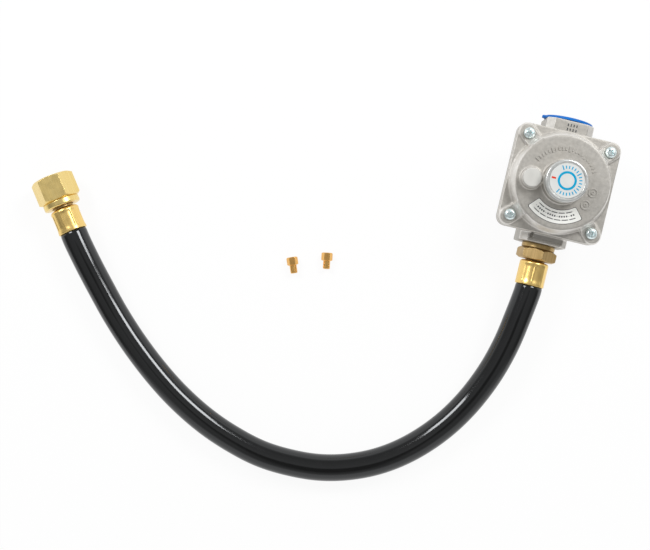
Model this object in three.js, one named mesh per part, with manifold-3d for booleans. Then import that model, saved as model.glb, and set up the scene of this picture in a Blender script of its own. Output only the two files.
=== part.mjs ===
// Low-pressure propane regulator with its hose, a swivel nut at the far end and two spare orifices.
// Millimetres, +Z up. Everything lies on z = 0. The origin is under the middle of the regulator,
// whose two ports lie along Y: the inlet faces +Y and the hose leaves the outlet towards -Y.

import * as THREE from 'three';
import { mergeVertices } from 'three/addons/utils/BufferGeometryUtils.js';
import Module from 'manifold-3d';

// ---------------------------------------------------------------- driving dimensions

// Clearances
const FIT_GAP = 0.3; // between two fixed pieces, one inside or against the other
const RUNNING_GAP = 0.4; // between two pieces that turn or slide in each other

// The two castings
const FLANGE_SIDE = 60;
const FLANGE_CORNER = 5.5;
const CASTING_EDGE = 0.6; // rounding of the flange edges
const BODY_FLANGE = 5;
const COVER_FLANGE = 4.5;
const BOWL_TOP_RADIUS = 26;
const BOWL_BASE_RADIUS = 21.5;
const BOWL_LIFT = 1.5; // underside of the bowl above the table
const FOOT_RADIUS = 14; // cast pad in the middle of the underside

// Ports of the body
const PORT_AXIS_HEIGHT = 15.2; // half the height of a port
const PORT_COVER = 1.6; // joint face of the body above the top of the ports
const INLET_REACH = 37.6; // from the middle to the end face of the inlet
const OUTLET_REACH = 35.1;
const PORT_WIDTH = 27.6;
const PORT_CHAMFER = 4.3;
const PORT_COLLAR = 2; // full-height collar at the end of the outlet port
const PORT_POCKET_RIM = 0.9; // beside the pocket, whose other side is open
const PORT_POCKET_DEPTH = 1.2;
const PORT_THREAD_RADIUS = 8.55;
const PORT_BORE_END = 24; // bottom of both port bores, from the middle

// Diaphragm chamber and valve chamber
const CHAMBER_RADIUS = 22.5;
const CHAMBER_DEPTH = 6;
const VALVE_CHAMBER_WIDTH = 15;
const VALVE_CHAMBER_SPARE = 1.4; // under the eye of the lever
const VALVE_CHAMBER_LENGTH = 37;
const GUIDE_LENGTH = 5.5; // web that guides the pusher
const GUIDE_START = 2.6;
const GUIDE_WALL = 1.3; // of the guide above the pusher

// Cover
const SHOULDER_INSET = 1; // inside the sides of the flange
const SHOULDER_HEIGHT = 2; // above the cover flange
const DRUM_BASE_RADIUS = 27.8;
const DRUM_TOP_RADIUS = 27;
const DRUM_HEIGHT = 8.5; // above the cover flange
const DRUM_EDGE = 1.5;
const TOWER_BASE_RADIUS = 12.2;
const TOWER_TOP_RADIUS = 11.9;
const TOWER_HEIGHT = 7; // above the drum
const TOWER_BORE_RADIUS = 9.9;
const COVER_WALL = 5; // roof of the drum
const PAD_WIDTH = 9.6; // raised pad under each screw
const PAD_HEIGHT = 1.2;
const VENT_X = -18;
const VENT_Y = -1.7;
const VENT_BASE_RADIUS = 6.3;
const VENT_TOP_RADIUS = 5.7;
const VENT_HEIGHT = 5; // above the drum
const VENT_BORE_RADIUS = 4.4;
const VENT_SEAT_RADIUS = 3.1;
const VENT_SEAT_DEPTH = 3.4;
const VENT_CAP_RADIUS = 5.3;
const VENT_CAP_HEIGHT = 1.2;
const VENT_SCREEN_THICKNESS = 0.5;
const VENT_SCREEN_HOLE = 0.45;

// Screws
const SCREW_INSET = 6.25; // axis inside the sides of the flange
const SCREW_HEAD_RADIUS = 3.15;
const SCREW_HEAD_HEIGHT = 2.3;
const SCREW_SHANK_RADIUS = 1.9;
const SCREW_LENGTH = 10.5;
const SCREW_CROSS_WIDTH = 0.9;
const SCREW_CROSS_SPAN = 3.6;
const SCREW_CROSS_DEPTH = 1.3;

// Seal cap and pressure setting
const CAP_HEIGHT = 5.7;
const CAP_EDGE = 1.4;
const CAP_SPIGOT_LENGTH = 4.4;
const GASKET_THICKNESS = 0.8;
const SETTING_SCREW_HEIGHT = 3;
const SETTING_SCREW_DEPTH = 4.9; // its top below the top of the tower
const SETTING_KEY_FLATS = 8;
const SEAT_HEIGHT = 1.1;
const SPRING_WIRE_RADIUS = 0.7;
const SPRING_RADIUS = 8.2; // to the middle of the wire
const SPRING_COILS = 4.25;
const SPRING_STEPS = 8; // per coil
const SPRING_SIDES = 5;

// Diaphragm, its plates and stem
const DIAPHRAGM_THICKNESS = 1;
const DIAPHRAGM_INSET = 0.5; // its edge inside the flanges
const DIAPHRAGM_DROP = 1; // how far its middle hangs at rest
const DIAPHRAGM_TRAVEL = 2; // from there up to the closed valve
const UPPER_PLATE_RADIUS = 16.5;
const LOWER_PLATE_RADIUS = 14.5;
const PLATE_THICKNESS = 1.2;
const STEM_RADIUS = 2;
const STEM_NECK_RADIUS = 1.2;
const STEM_BUTTON_RADIUS = 2.8;
const STEM_BUTTON_HEIGHT = 1.2;

// Lever, its pin and the valve pusher
const LEVER_LONG_ARM = 12.5; // pin to stem, along Y
const LEVER_SHORT_ARM = 6.2; // pin to pusher axis, along Z
const LEVER_THICKNESS = 1.6;
const LEVER_WIDTH = 6.4;
const LEVER_PLATE = 1.2;
const LEVER_LEG = 1.6;
const LEVER_NOSE = 2.6; // rounded swelling that pushes the pusher
const LEVER_REACH = 6; // fork tip beyond the stem
const LEVER_EYE_WALL = 0.9;
const LEVER_DROP = 1.6; // top of its arm below the floor of the diaphragm chamber
const PIN_RADIUS = 1.2;
const PIN_LENGTH = 18.4;
const PUSHER_RADIUS = 4;
const PUSHER_START = 1.6;
const DISC_RADIUS = 3.3;
const DISC_THICKNESS = 1.6;
const DISC_CUP_DEPTH = 1.1;
const VALVE_CLOSED_GAP = 0.3; // rubber disc to nozzle with the valve closed

// Inlet orifice, screwed through the wall behind the inlet
const NOZZLE_NOSE_RADIUS = 2.2;
const NOZZLE_NOSE_LENGTH = 0.8;
const NOZZLE_THREAD_RADIUS = 3.7;
const NOZZLE_HEX_FLATS = 9;
const NOZZLE_HEX_LENGTH = 3;
const NOZZLE_BORE_RADIUS = 0.9;

// Inlet dust plug
const PLUG_FLANGE_RADIUS = 14.3;
const PLUG_FLANGE_THICKNESS = 1.6;
const PLUG_SPIGOT_LENGTH = 8;
const PLUG_WALL = 1.2;
const PLUG_TAB_LENGTH = 3;
const PLUG_TAB_WIDTH = 5;

// Outlet fitting
const OUTLET_THREAD_LENGTH = 10.2;
const OUTLET_COLLAR_RADIUS = 9.75;
const OUTLET_COLLAR_LENGTH = 2.9;
const OUTLET_HEX_FLATS = 20.6;
const OUTLET_HEX_LENGTH = 6.4;
const OUTLET_HEX_ROLL = 19; // degrees
const OUTLET_BORE_RADIUS = 3.2;

// Hose, ferrules and barbed stems
const HOSE_RADIUS = 7.95;
const HOSE_BORE_RADIUS = 4.75;
const HOSE_CRIMPED_RADIUS = 7.2;
const HOSE_STRETCHED_BORE = 5.1;
const HOSE_STEPS = 26;
const HOSE_SIDES = 12;
const FERRULE_RADIUS = 8.5;
const FERRULE_LENGTH = 14.3;
const FERRULE_WALL = 1;
const FERRULE_RIBS = 8;
const FERRULE_RIB_HEIGHT = 0.35;
const STEM_GAP = 0.8; // neck showing between hexagon and ferrule
const FAR_STEM_GAP = 1.5;
const BARB_RADIUS = 4.7;
const BARB_ROOT_RADIUS = 4.2;
const BARB_COUNT = 4;
const NECK_RADIUS = 5.8;

// Swivel nut and the insert that it turns on
const NUT_HEX_FLATS = 22.2;
const NUT_HEX_LENGTH = 14.6;
const NUT_NECK_RADIUS = 10.8;
const NUT_NECK_LENGTH = 3.9;
const NUT_THREAD_RADIUS = 8.7;
const NUT_THREAD_DEPTH = 11.5;
const NUT_BACK_RADIUS = 6.25;
const FLARE_RADIUS = 8.2;
const FLARE_LENGTH = 3.2;
const FLARE_SEAT_DEPTH = 3.6;
const FLARE_SEAT_RADIUS = 6.8;

// Where the far end lies: the hose's mouth there and the direction from it to the nut
const FAR_MOUTH_X = -268.8;
const FAR_MOUTH_Y = -91.5;
const FAR_HEADING = 126; // degrees from +X

// The hose's route over the table from the outlet to the far end: x, y and rise above lying flat
const HOSE_LEAD = 8; // straight length at either end
const HOSE_LIFT = 0.1; // lowest point of the lying hose above the table
const HOSE_ROUTE = [
  [-2.4, -78.4, 6.6], [-5.2, -97.3, 4.9], [-10.2, -116.8, 2.7], [-19.0, -137.2, 0.7],
  [-30.4, -154.6, 0], [-45.0, -170.0, 0], [-60.5, -181.3, 0], [-77.0, -189.0, 0],
  [-94.2, -193.6, 0], [-112.2, -195.0, 0], [-130.9, -193.8, 0], [-150.3, -188.9, 0],
  [-167.5, -182.3, 0], [-185.0, -173.0, 0], [-200.3, -162.7, 0], [-217.7, -148.6, 0],
  [-233.1, -133.9, 0.2], [-246.6, -118.9, 1.2], [-256.4, -107.4, 2.3],
];

// The two spare orifices on the table: middle of the hexagon head and direction towards the stub
const SPARE_HEX_FLATS = 5.8;
const SPARE_HEX_LENGTH = 4.9;
const SPARE_STUB_RADIUS = 2.1;
const SPARE_STUB_LENGTH = 4.9;
const SPARE_BORE_RADIUS = 0.6;
const SPARE_PLACES = [
  { name: 'orifice_a', x: -138.9, y: -78.4, heading: -67.8 },
  { name: 'orifice_b', x: -119.4, y: -71.0, heading: -79.9 },
];

// Facets round the turned pieces
const ROUND = 28;
const SMALL_ROUND = 16;
const HIDDEN_ROUND = 20; // pieces inside the castings

// ---------------------------------------------------------------- worked-out heights and places

const BODY_HEIGHT = 2 * PORT_AXIS_HEIGHT + PORT_COVER; // joint face of the body above the table
const COVER_BASE = BODY_HEIGHT + DIAPHRAGM_THICKNESS;
const FLANGE_TOP = COVER_BASE + COVER_FLANGE;
const PAD_TOP = FLANGE_TOP + PAD_HEIGHT;
const DRUM_TOP = FLANGE_TOP + DRUM_HEIGHT;
const TOWER_TOP = DRUM_TOP + TOWER_HEIGHT;
const VENT_TOP = DRUM_TOP + VENT_HEIGHT;
const CHAMBER_FLOOR = BODY_HEIGHT - CHAMBER_DEPTH;
const DIAPHRAGM_MIDDLE = BODY_HEIGHT - DIAPHRAGM_DROP; // underside of its flat middle
const UPPER_PLATE_BASE = DIAPHRAGM_MIDDLE + DIAPHRAGM_THICKNESS;
const UPPER_PLATE_TOP = UPPER_PLATE_BASE + PLATE_THICKNESS;
const SETTING_SCREW_TOP = TOWER_TOP - SETTING_SCREW_DEPTH;
const SETTING_SCREW_BASE = SETTING_SCREW_TOP - SETTING_SCREW_HEIGHT;
const SEAT_TOP = SETTING_SCREW_BASE - FIT_GAP;
const SEAT_BASE = SEAT_TOP - SEAT_HEIGHT;
const VALVE_CHAMBER_END = VALVE_CHAMBER_LENGTH / 2;
const NOZZLE_FACE = VALVE_CHAMBER_END - NOZZLE_NOSE_LENGTH;
const PUSHER_TRAVEL = DIAPHRAGM_TRAVEL * LEVER_SHORT_ARM / LEVER_LONG_ARM;
const DISC_FACE = NOZZLE_FACE - VALVE_CLOSED_GAP - PUSHER_TRAVEL;
const PIN_HEIGHT = PORT_AXIS_HEIGHT - LEVER_SHORT_ARM;
const LEVER_TOP = CHAMBER_FLOOR - LEVER_DROP;
const VALVE_CHAMBER_FLOOR = PIN_HEIGHT - PIN_RADIUS - LEVER_EYE_WALL - VALVE_CHAMBER_SPARE;
const GUIDE_TOP = PORT_AXIS_HEIGHT + PUSHER_RADIUS + GUIDE_WALL;
const SHOULDER_RADIUS = FLANGE_SIDE / 2 - SHOULDER_INSET;
const SCREW_OFFSET = FLANGE_SIDE / 2 - SCREW_INSET;

// ---------------------------------------------------------------- solids

const wasm = await Module();
wasm.setup();

// Turns a closed geometry into a solid whose faces point outwards.
function toSolid(geometry) {
  const bare = new THREE.BufferGeometry();
  bare.setAttribute('position', geometry.getAttribute('position').clone());
  if (geometry.index) bare.setIndex(geometry.index.clone());
  const merged = mergeVertices(bare, 1e-4);
  const positions = merged.getAttribute('position').array;
  const corner = (i) => new THREE.Vector3().fromArray(positions, 3 * i);
  const triangles = [];
  let volume = 0;
  for (let i = 0; i < merged.index.count; i += 3) {
    const [a, b, c] = [0, 1, 2].map((k) => merged.index.getX(i + k));
    if (a === b || b === c || c === a) continue;
    volume += corner(a).dot(corner(b).cross(corner(c)));
    triangles.push([a, b, c]);
  }
  const outward = volume < 0 ? triangles.map(([a, b, c]) => [a, c, b]) : triangles;
  return new wasm.Manifold(new wasm.Mesh({
    numProp: 3,
    vertProperties: new Float32Array(positions),
    triVerts: new Uint32Array(outward.flat()),
  }));
}

function toGeometry(manifold) {
  const { vertProperties, triVerts } = manifold.getMesh();
  const geometry = new THREE.BufferGeometry();
  geometry.setAttribute('position', new THREE.BufferAttribute(new Float32Array(vertProperties), 3));
  geometry.setIndex(new THREE.BufferAttribute(new Uint32Array(triVerts), 1));
  return geometry;
}

const join = (...pieces) => toGeometry(pieces.map(toSolid).reduce((a, b) => a.add(b)));
const cut = (base, ...tools) => toGeometry(tools.map(toSolid).reduce((a, b) => a.subtract(b), toSolid(base)));
const common = (a, b) => toGeometry(toSolid(a).intersect(toSolid(b)));

// A solid of revolution about Z. The outline is a list of [radius, height] pairs that closes on itself.
function turned(outline, segments = ROUND) {
  const points = [...outline, outline[0]].map(([radius, height]) => new THREE.Vector2(radius, height));
  return new THREE.LatheGeometry(points, segments).rotateX(Math.PI / 2);
}

const rod = (radius, bottom, top, segments = SMALL_ROUND) =>
  turned([[0, bottom], [radius, bottom], [radius, top], [0, top]], segments);

const ring = (inner, outer, bottom, top, segments = SMALL_ROUND) =>
  turned([[inner, bottom], [outer, bottom], [outer, top], [inner, top]], segments);

// A rod along Y, between two places on it.
const rodAlongY = (radius, start, end, height, segments = SMALL_ROUND) =>
  rod(radius, -end, -start, segments).rotateX(Math.PI / 2).translate(0, 0, height);

const rodAlongX = (radius, halfLength, y, z) =>
  rod(radius, -halfLength, halfLength, SMALL_ROUND).rotateY(Math.PI / 2).translate(0, y, z);

function block(x0, x1, y0, y1, z0, z1) {
  return new THREE.BoxGeometry(x1 - x0, y1 - y0, z1 - z0).translate((x0 + x1) / 2, (y0 + y1) / 2, (z0 + z1) / 2);
}

// Points of a quarter circle in an outline, from one angle to another in degrees.
function fillet(radius, height, size, from, to, steps = 2) {
  return Array.from({ length: steps + 1 }, (_, i) => {
    const angle = THREE.MathUtils.degToRad(from + (to - from) * i / steps);
    return [radius + size * Math.cos(angle), height + size * Math.sin(angle)];
  });
}

// A flat outline pulled up along Z, with rounded edges where edge is above 0.
function slab(shape, bottom, top, edge = 0) {
  const options = { depth: top - bottom - 2 * edge, curveSegments: 5, bevelEnabled: edge > 0 };
  Object.assign(options, { bevelThickness: edge, bevelSize: edge, bevelOffset: -edge, bevelSegments: 2 });
  return new THREE.ExtrudeGeometry(shape, options).translate(0, 0, bottom + edge);
}

function roundedSquare(side, corner) {
  const half = side / 2;
  const shape = new THREE.Shape();
  for (const [turn, x, y] of [[0, 1, 1], [1, -1, 1], [2, -1, -1], [3, 1, -1]]) {
    const start = turn * Math.PI / 2;
    shape.absarc(x * (half - corner), y * (half - corner), corner, start, start + Math.PI / 2, false);
  }
  return shape.closePath();
}

function polygon(points) {
  return new THREE.Shape(points.map(([x, y]) => new THREE.Vector2(x, y)));
}

// A hexagon bar along Z with its corners turned off at one or both ends.
function hexagonBar(acrossFlats, bottom, top, turnedEnds = ['bottom', 'top']) {
  const flat = acrossFlats / 2;
  const corner = flat / Math.cos(Math.PI / 6);
  const drop = (corner - flat) * Math.tan(Math.PI / 6) * 1.1;
  const outline = Array.from({ length: 6 }, (_, i) => {
    const angle = (i + 0.5) * Math.PI / 3 + Math.PI / 6;
    return [corner * Math.cos(angle), corner * Math.sin(angle)];
  });
  const low = turnedEnds.includes('bottom') ? drop : 0;
  const high = turnedEnds.includes('top') ? drop : 0;
  const envelope = turned([
    [0, bottom], [low ? flat : corner + 1, bottom], [corner + 1, bottom + low + (low ? FIT_GAP : 0)],
    [corner + 1, top - high - (high ? FIT_GAP : 0)], [high ? flat : corner + 1, top], [0, top],
  ], acrossFlats > 12 ? ROUND : SMALL_ROUND);
  return common(slab(polygon(outline), bottom, top), envelope);
}

// ---------------------------------------------------------------- castings

function atScrews(make) {
  return [[1, 1], [-1, 1], [-1, -1], [1, -1]].map(([x, y]) => make(x * SCREW_OFFSET, y * SCREW_OFFSET, x, y));
}

function portBlock() {
  const half = PORT_WIDTH / 2;
  const inner = half - PORT_CHAMFER;
  const tall = PORT_AXIS_HEIGHT;
  const low = tall - PORT_CHAMFER;
  const section = polygon([
    [inner, -tall], [half, -low], [half, low], [inner, tall],
    [-inner, tall], [-half, low], [-half, -low], [-inner, -tall],
  ]);
  return slab(section, -INLET_REACH, OUTLET_REACH, CASTING_EDGE)
    .rotateX(Math.PI / 2).translate(0, 0, PORT_AXIS_HEIGHT);
}

function regulatorBody() {
  const flange = slab(roundedSquare(FLANGE_SIDE, FLANGE_CORNER), BODY_HEIGHT - BODY_FLANGE, BODY_HEIGHT, CASTING_EDGE);
  const bowl = turned([
    [0, 0], [FOOT_RADIUS - CASTING_EDGE, 0], [FOOT_RADIUS, CASTING_EDGE], [FOOT_RADIUS, BOWL_LIFT],
    [BOWL_BASE_RADIUS - 3, BOWL_LIFT], ...fillet(BOWL_BASE_RADIUS - 3, BOWL_LIFT + 3, 3, -60, 0),
    [BOWL_TOP_RADIUS, BODY_HEIGHT - BODY_FLANGE], [BOWL_TOP_RADIUS, BODY_HEIGHT - 1], [0, BODY_HEIGHT - 1],
  ]);
  const pocketTop = 2 * PORT_AXIS_HEIGHT;
  const portPocket = block(PORT_POCKET_RIM + PORT_CHAMFER - PORT_WIDTH / 2, PORT_WIDTH / 2 + 1,
    PORT_COLLAR - OUTLET_REACH, -FLANGE_SIDE / 2 - FIT_GAP, pocketTop - PORT_POCKET_DEPTH, pocketTop + 1);
  const chamber = rod(CHAMBER_RADIUS, CHAMBER_FLOOR, BODY_HEIGHT + 1, ROUND);
  const half = VALVE_CHAMBER_WIDTH / 2;
  const end = VALVE_CHAMBER_END;
  const guideEnd = GUIDE_START + GUIDE_LENGTH;
  const pinSlotHalf = PIN_RADIUS + FIT_GAP / 2;
  const above = CHAMBER_FLOOR + 1;
  const hollows = [
    block(-half, half, guideEnd, end, VALVE_CHAMBER_FLOOR, above),
    block(-half, half, -end, GUIDE_START, VALVE_CHAMBER_FLOOR, above),
    block(-half, half, GUIDE_START - 1, guideEnd + 1, GUIDE_TOP, above),
    block(-PIN_LENGTH / 2 - FIT_GAP, PIN_LENGTH / 2 + FIT_GAP, LEVER_LONG_ARM - pinSlotHalf,
      LEVER_LONG_ARM + pinSlotHalf, PIN_HEIGHT - pinSlotHalf, above),
    rodAlongY(PUSHER_RADIUS + RUNNING_GAP, GUIDE_START - 1, guideEnd + 1, PORT_AXIS_HEIGHT),
    rodAlongY(PORT_THREAD_RADIUS + FIT_GAP, -OUTLET_REACH - 1, -PORT_BORE_END, PORT_AXIS_HEIGHT, ROUND),
    rodAlongY(PORT_THREAD_RADIUS + FIT_GAP, PORT_BORE_END, INLET_REACH + 1, PORT_AXIS_HEIGHT, ROUND),
    rodAlongY(half - 1, -PORT_BORE_END - 1, -end + 1, PORT_AXIS_HEIGHT),
    rodAlongY(NOZZLE_THREAD_RADIUS + FIT_GAP, end - 1, PORT_BORE_END + 1, PORT_AXIS_HEIGHT),
  ];
  const screwHoles = atScrews((x, y) =>
    rod(SCREW_SHANK_RADIUS + FIT_GAP, BODY_HEIGHT - BODY_FLANGE - 1, BODY_HEIGHT + 1, 12).translate(x, y, 0));
  return cut(join(flange, bowl, portBlock()), portPocket, chamber, ...hollows, ...screwHoles);
}

function screwPad(x, y) {
  const half = PAD_WIDTH / 2;
  const reach = Math.hypot(x, y);
  const start = DRUM_BASE_RADIUS - 4;
  const bar = new THREE.Shape();
  bar.moveTo(start, -half);
  bar.lineTo(reach, -half);
  bar.absarc(reach, 0, half, -Math.PI / 2, Math.PI / 2, false);
  bar.lineTo(start, half);
  bar.closePath();
  return slab(bar, FLANGE_TOP - 1, PAD_TOP).rotateZ(Math.atan2(y, x));
}

function regulatorCover() {
  const flange = slab(roundedSquare(FLANGE_SIDE, FLANGE_CORNER), COVER_BASE, FLANGE_TOP, CASTING_EDGE);
  const shoulderTop = FLANGE_TOP + SHOULDER_HEIGHT;
  const drum = turned([
    [0, FLANGE_TOP - 1], [SHOULDER_RADIUS, FLANGE_TOP - 1], [SHOULDER_RADIUS, shoulderTop - 0.5],
    [SHOULDER_RADIUS - 0.5, shoulderTop], [DRUM_BASE_RADIUS, shoulderTop],
    ...fillet(DRUM_TOP_RADIUS - DRUM_EDGE, DRUM_TOP - DRUM_EDGE, DRUM_EDGE, 0, 90), [0, DRUM_TOP],
  ]);
  const tower = turned([
    [0, DRUM_TOP - 1], [TOWER_BASE_RADIUS + 0.6, DRUM_TOP - 1], [TOWER_BASE_RADIUS + 0.6, DRUM_TOP],
    [TOWER_BASE_RADIUS, DRUM_TOP + 0.6], [TOWER_TOP_RADIUS, TOWER_TOP - 0.4],
    [TOWER_TOP_RADIUS - 0.4, TOWER_TOP], [0, TOWER_TOP],
  ]);
  const vent = turned([
    [0, DRUM_TOP - 1], [VENT_BASE_RADIUS, DRUM_TOP - 1], [VENT_BASE_RADIUS, DRUM_TOP],
    [VENT_TOP_RADIUS, VENT_TOP - 0.3], [VENT_TOP_RADIUS - 0.3, VENT_TOP], [0, VENT_TOP],
  ], SMALL_ROUND).translate(VENT_X, VENT_Y, 0);
  const roof = DRUM_TOP - COVER_WALL;
  const cavity = turned([
    [0, COVER_BASE - 1], [CHAMBER_RADIUS, COVER_BASE - 1], [CHAMBER_RADIUS, roof - 1.5], [CHAMBER_RADIUS - 1.5, roof],
    [TOWER_BORE_RADIUS, roof], [TOWER_BORE_RADIUS, TOWER_TOP + 1], [0, TOWER_TOP + 1],
  ]);
  const ventBore = rod(VENT_BORE_RADIUS, VENT_TOP - VENT_SEAT_DEPTH, VENT_TOP + 1).translate(VENT_X, VENT_Y, 0);
  const ventDuct = rod(VENT_SEAT_RADIUS, roof - 1, VENT_TOP).translate(VENT_X, VENT_Y, 0);
  const screwHoles = atScrews((x, y) =>
    rod(SCREW_SHANK_RADIUS + FIT_GAP, COVER_BASE - 1, PAD_TOP + 1, 12).translate(x, y, 0));
  const headRoom = atScrews((x, y) =>
    rod(SCREW_HEAD_RADIUS + RUNNING_GAP, PAD_TOP, TOWER_TOP).translate(x, y, 0));
  const pads = atScrews((x, y) => screwPad(x, y));
  const casting = join(flange, drum, tower, vent, ...pads);
  return cut(casting, cavity, ventBore, ventDuct, ...screwHoles, ...headRoom);
}

function coverScrew() {
  const head = SCREW_HEAD_RADIUS;
  const top = SCREW_HEAD_HEIGHT;
  const blank = turned([
    [0, -SCREW_LENGTH], [SCREW_SHANK_RADIUS - 0.4, -SCREW_LENGTH], [SCREW_SHANK_RADIUS, 0.4 - SCREW_LENGTH],
    [SCREW_SHANK_RADIUS, 0], [head, 0], [head, top - 1.1], [head - 0.4, top - 0.45], [head - 1.2, top], [0, top],
  ], SMALL_ROUND - 4);
  const arm = SCREW_CROSS_WIDTH / 2;
  const span = SCREW_CROSS_SPAN / 2;
  const bottom = top - SCREW_CROSS_DEPTH;
  return cut(blank, block(-arm, arm, -span, span, bottom, top + 1), block(-span, span, -arm, arm, bottom, top + 1));
}

// ---------------------------------------------------------------- vent, seal cap and pressure setting

function ventScreen() {
  const disc = rod(VENT_BORE_RADIUS - FIT_GAP, 0, VENT_SCREEN_THICKNESS);
  const holes = [];
  for (const [radius, count] of [[1.1, 4], [2.4, 8]]) {
    for (let i = 0; i < count; i += 1) {
      const angle = i * 2 * Math.PI / count;
      holes.push(rod(VENT_SCREEN_HOLE, -1, VENT_SCREEN_THICKNESS + 1, 4)
        .translate(radius * Math.cos(angle), radius * Math.sin(angle), 0));
    }
  }
  return cut(disc, ...holes);
}

function ventCap() {
  const plugDepth = VENT_SEAT_DEPTH - VENT_SCREEN_THICKNESS - FIT_GAP;
  const cap = turned([
    [0, -plugDepth], [VENT_BORE_RADIUS - FIT_GAP, -plugDepth], [VENT_BORE_RADIUS - FIT_GAP, 0], [VENT_CAP_RADIUS, 0],
    [VENT_CAP_RADIUS, VENT_CAP_HEIGHT - 0.4], [VENT_CAP_RADIUS - 0.4, VENT_CAP_HEIGHT], [0, VENT_CAP_HEIGHT],
  ], SMALL_ROUND);
  const breather = rod(VENT_SEAT_RADIUS - FIT_GAP, -plugDepth - 1, -1);
  const sideWay = block(-VENT_CAP_RADIUS - 1, VENT_CAP_RADIUS + 1, -0.8, 0.8, -plugDepth - 1, 0.5);
  return cut(cap, breather, sideWay);
}

function sealCap() {
  const radius = TOWER_TOP_RADIUS;
  const spigot = TOWER_BORE_RADIUS - RUNNING_GAP;
  return cut(turned([
    [0, -CAP_SPIGOT_LENGTH], [spigot, -CAP_SPIGOT_LENGTH], [spigot, 0], [radius, 0],
    ...fillet(radius - CAP_EDGE, CAP_HEIGHT - CAP_EDGE, CAP_EDGE, 0, 90), [0, CAP_HEIGHT],
  ]), rod(spigot - 1.6, -CAP_SPIGOT_LENGTH - 1, -1));
}

function settingScrew() {
  const radius = TOWER_BORE_RADIUS - RUNNING_GAP;
  const key = Array.from({ length: 6 }, (_, i) => {
    const reach = SETTING_KEY_FLATS / 2 / Math.cos(Math.PI / 6);
    return [reach * Math.cos(i * Math.PI / 3), reach * Math.sin(i * Math.PI / 3)];
  });
  const blank = turned([
    [0, 0], [radius - 0.5, 0], [radius, 0.5], [radius, SETTING_SCREW_HEIGHT - 0.5],
    [radius - 0.5, SETTING_SCREW_HEIGHT], [0, SETTING_SCREW_HEIGHT],
  ], HIDDEN_ROUND);
  return cut(blank, slab(polygon(key), -1, SETTING_SCREW_HEIGHT + 1));
}

function springSeat() {
  const locator = SPRING_RADIUS - SPRING_WIRE_RADIUS - RUNNING_GAP;
  return turned([
    [0, 0], [0, SEAT_HEIGHT], [TOWER_BORE_RADIUS - RUNNING_GAP, SEAT_HEIGHT], [TOWER_BORE_RADIUS - RUNNING_GAP, 0],
    [locator, 0], [locator - 0.6, -0.9], [locator - 1.4, -0.9], [locator - 1.4, 0],
  ], HIDDEN_ROUND);
}

class Helix extends THREE.Curve {
  constructor(radius, bottom, top, coils) {
    super();
    Object.assign(this, { radius, bottom, top, coils });
  }

  getPoint(t, target = new THREE.Vector3()) {
    const angle = t * this.coils * 2 * Math.PI;
    const height = this.bottom + t * (this.top - this.bottom);
    return target.set(this.radius * Math.cos(angle), this.radius * Math.sin(angle), height);
  }
}

function circle(radius, sides) {
  return polygon(Array.from({ length: sides }, (_, i) => {
    const angle = i * 2 * Math.PI / sides;
    return [radius * Math.cos(angle), radius * Math.sin(angle)];
  }));
}

function regulatingSpring() {
  const start = UPPER_PLATE_TOP + FIT_GAP + SPRING_WIRE_RADIUS;
  const end = SEAT_BASE - FIT_GAP - SPRING_WIRE_RADIUS;
  const helix = new Helix(SPRING_RADIUS, start, end, SPRING_COILS);
  const options = { steps: Math.round(SPRING_STEPS * SPRING_COILS), bevelEnabled: false, extrudePath: helix };
  return new THREE.ExtrudeGeometry(circle(SPRING_WIRE_RADIUS, SPRING_SIDES), options);
}

// ---------------------------------------------------------------- diaphragm, lever and valve

function diaphragm() {
  const side = FLANGE_SIDE - 2 * DIAPHRAGM_INSET;
  const rim = cut(
    slab(roundedSquare(side, FLANGE_CORNER), BODY_HEIGHT, COVER_BASE),
    rod(CHAMBER_RADIUS - 0.2, BODY_HEIGHT - 1, COVER_BASE + 1, HIDDEN_ROUND),
    ...atScrews((x, y) => rod(SCREW_SHANK_RADIUS + FIT_GAP, BODY_HEIGHT - 1, COVER_BASE + 1, 12).translate(x, y, 0)),
  );
  const inner = UPPER_PLATE_RADIUS + 0.5;
  const outer = CHAMBER_RADIUS - FIT_GAP;
  const steps = 4;
  const lower = [];
  for (let i = 0; i <= steps; i += 1) {
    const t = i / steps;
    const roll = 2.2 * Math.sin(Math.PI * t);
    lower.push([inner + t * (outer - inner), DIAPHRAGM_MIDDLE + t * DIAPHRAGM_DROP + roll]);
  }
  lower.push([CHAMBER_RADIUS + 0.5, BODY_HEIGHT]);
  const upper = lower.map(([radius, height]) => [radius, height + DIAPHRAGM_THICKNESS]).reverse();
  const hole = STEM_RADIUS + FIT_GAP;
  const middle = turned([[hole, DIAPHRAGM_MIDDLE], ...lower, ...upper, [hole, UPPER_PLATE_BASE]], HIDDEN_ROUND);
  return join(rim, middle);
}

function diaphragmPlate(radius, lipHeight, lipUp) {
  const hole = STEM_RADIUS + FIT_GAP;
  const outline = [[hole, 0], [radius, 0], [radius, PLATE_THICKNESS], [hole, PLATE_THICKNESS]];
  if (!lipUp) return turned(outline, HIDDEN_ROUND);
  const lipRadius = SPRING_RADIUS + SPRING_WIRE_RADIUS + RUNNING_GAP;
  const lip = ring(lipRadius, lipRadius + 0.8, PLATE_THICKNESS - 0.5, PLATE_THICKNESS + lipHeight, HIDDEN_ROUND);
  return join(turned(outline, HIDDEN_ROUND), lip);
}

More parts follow.
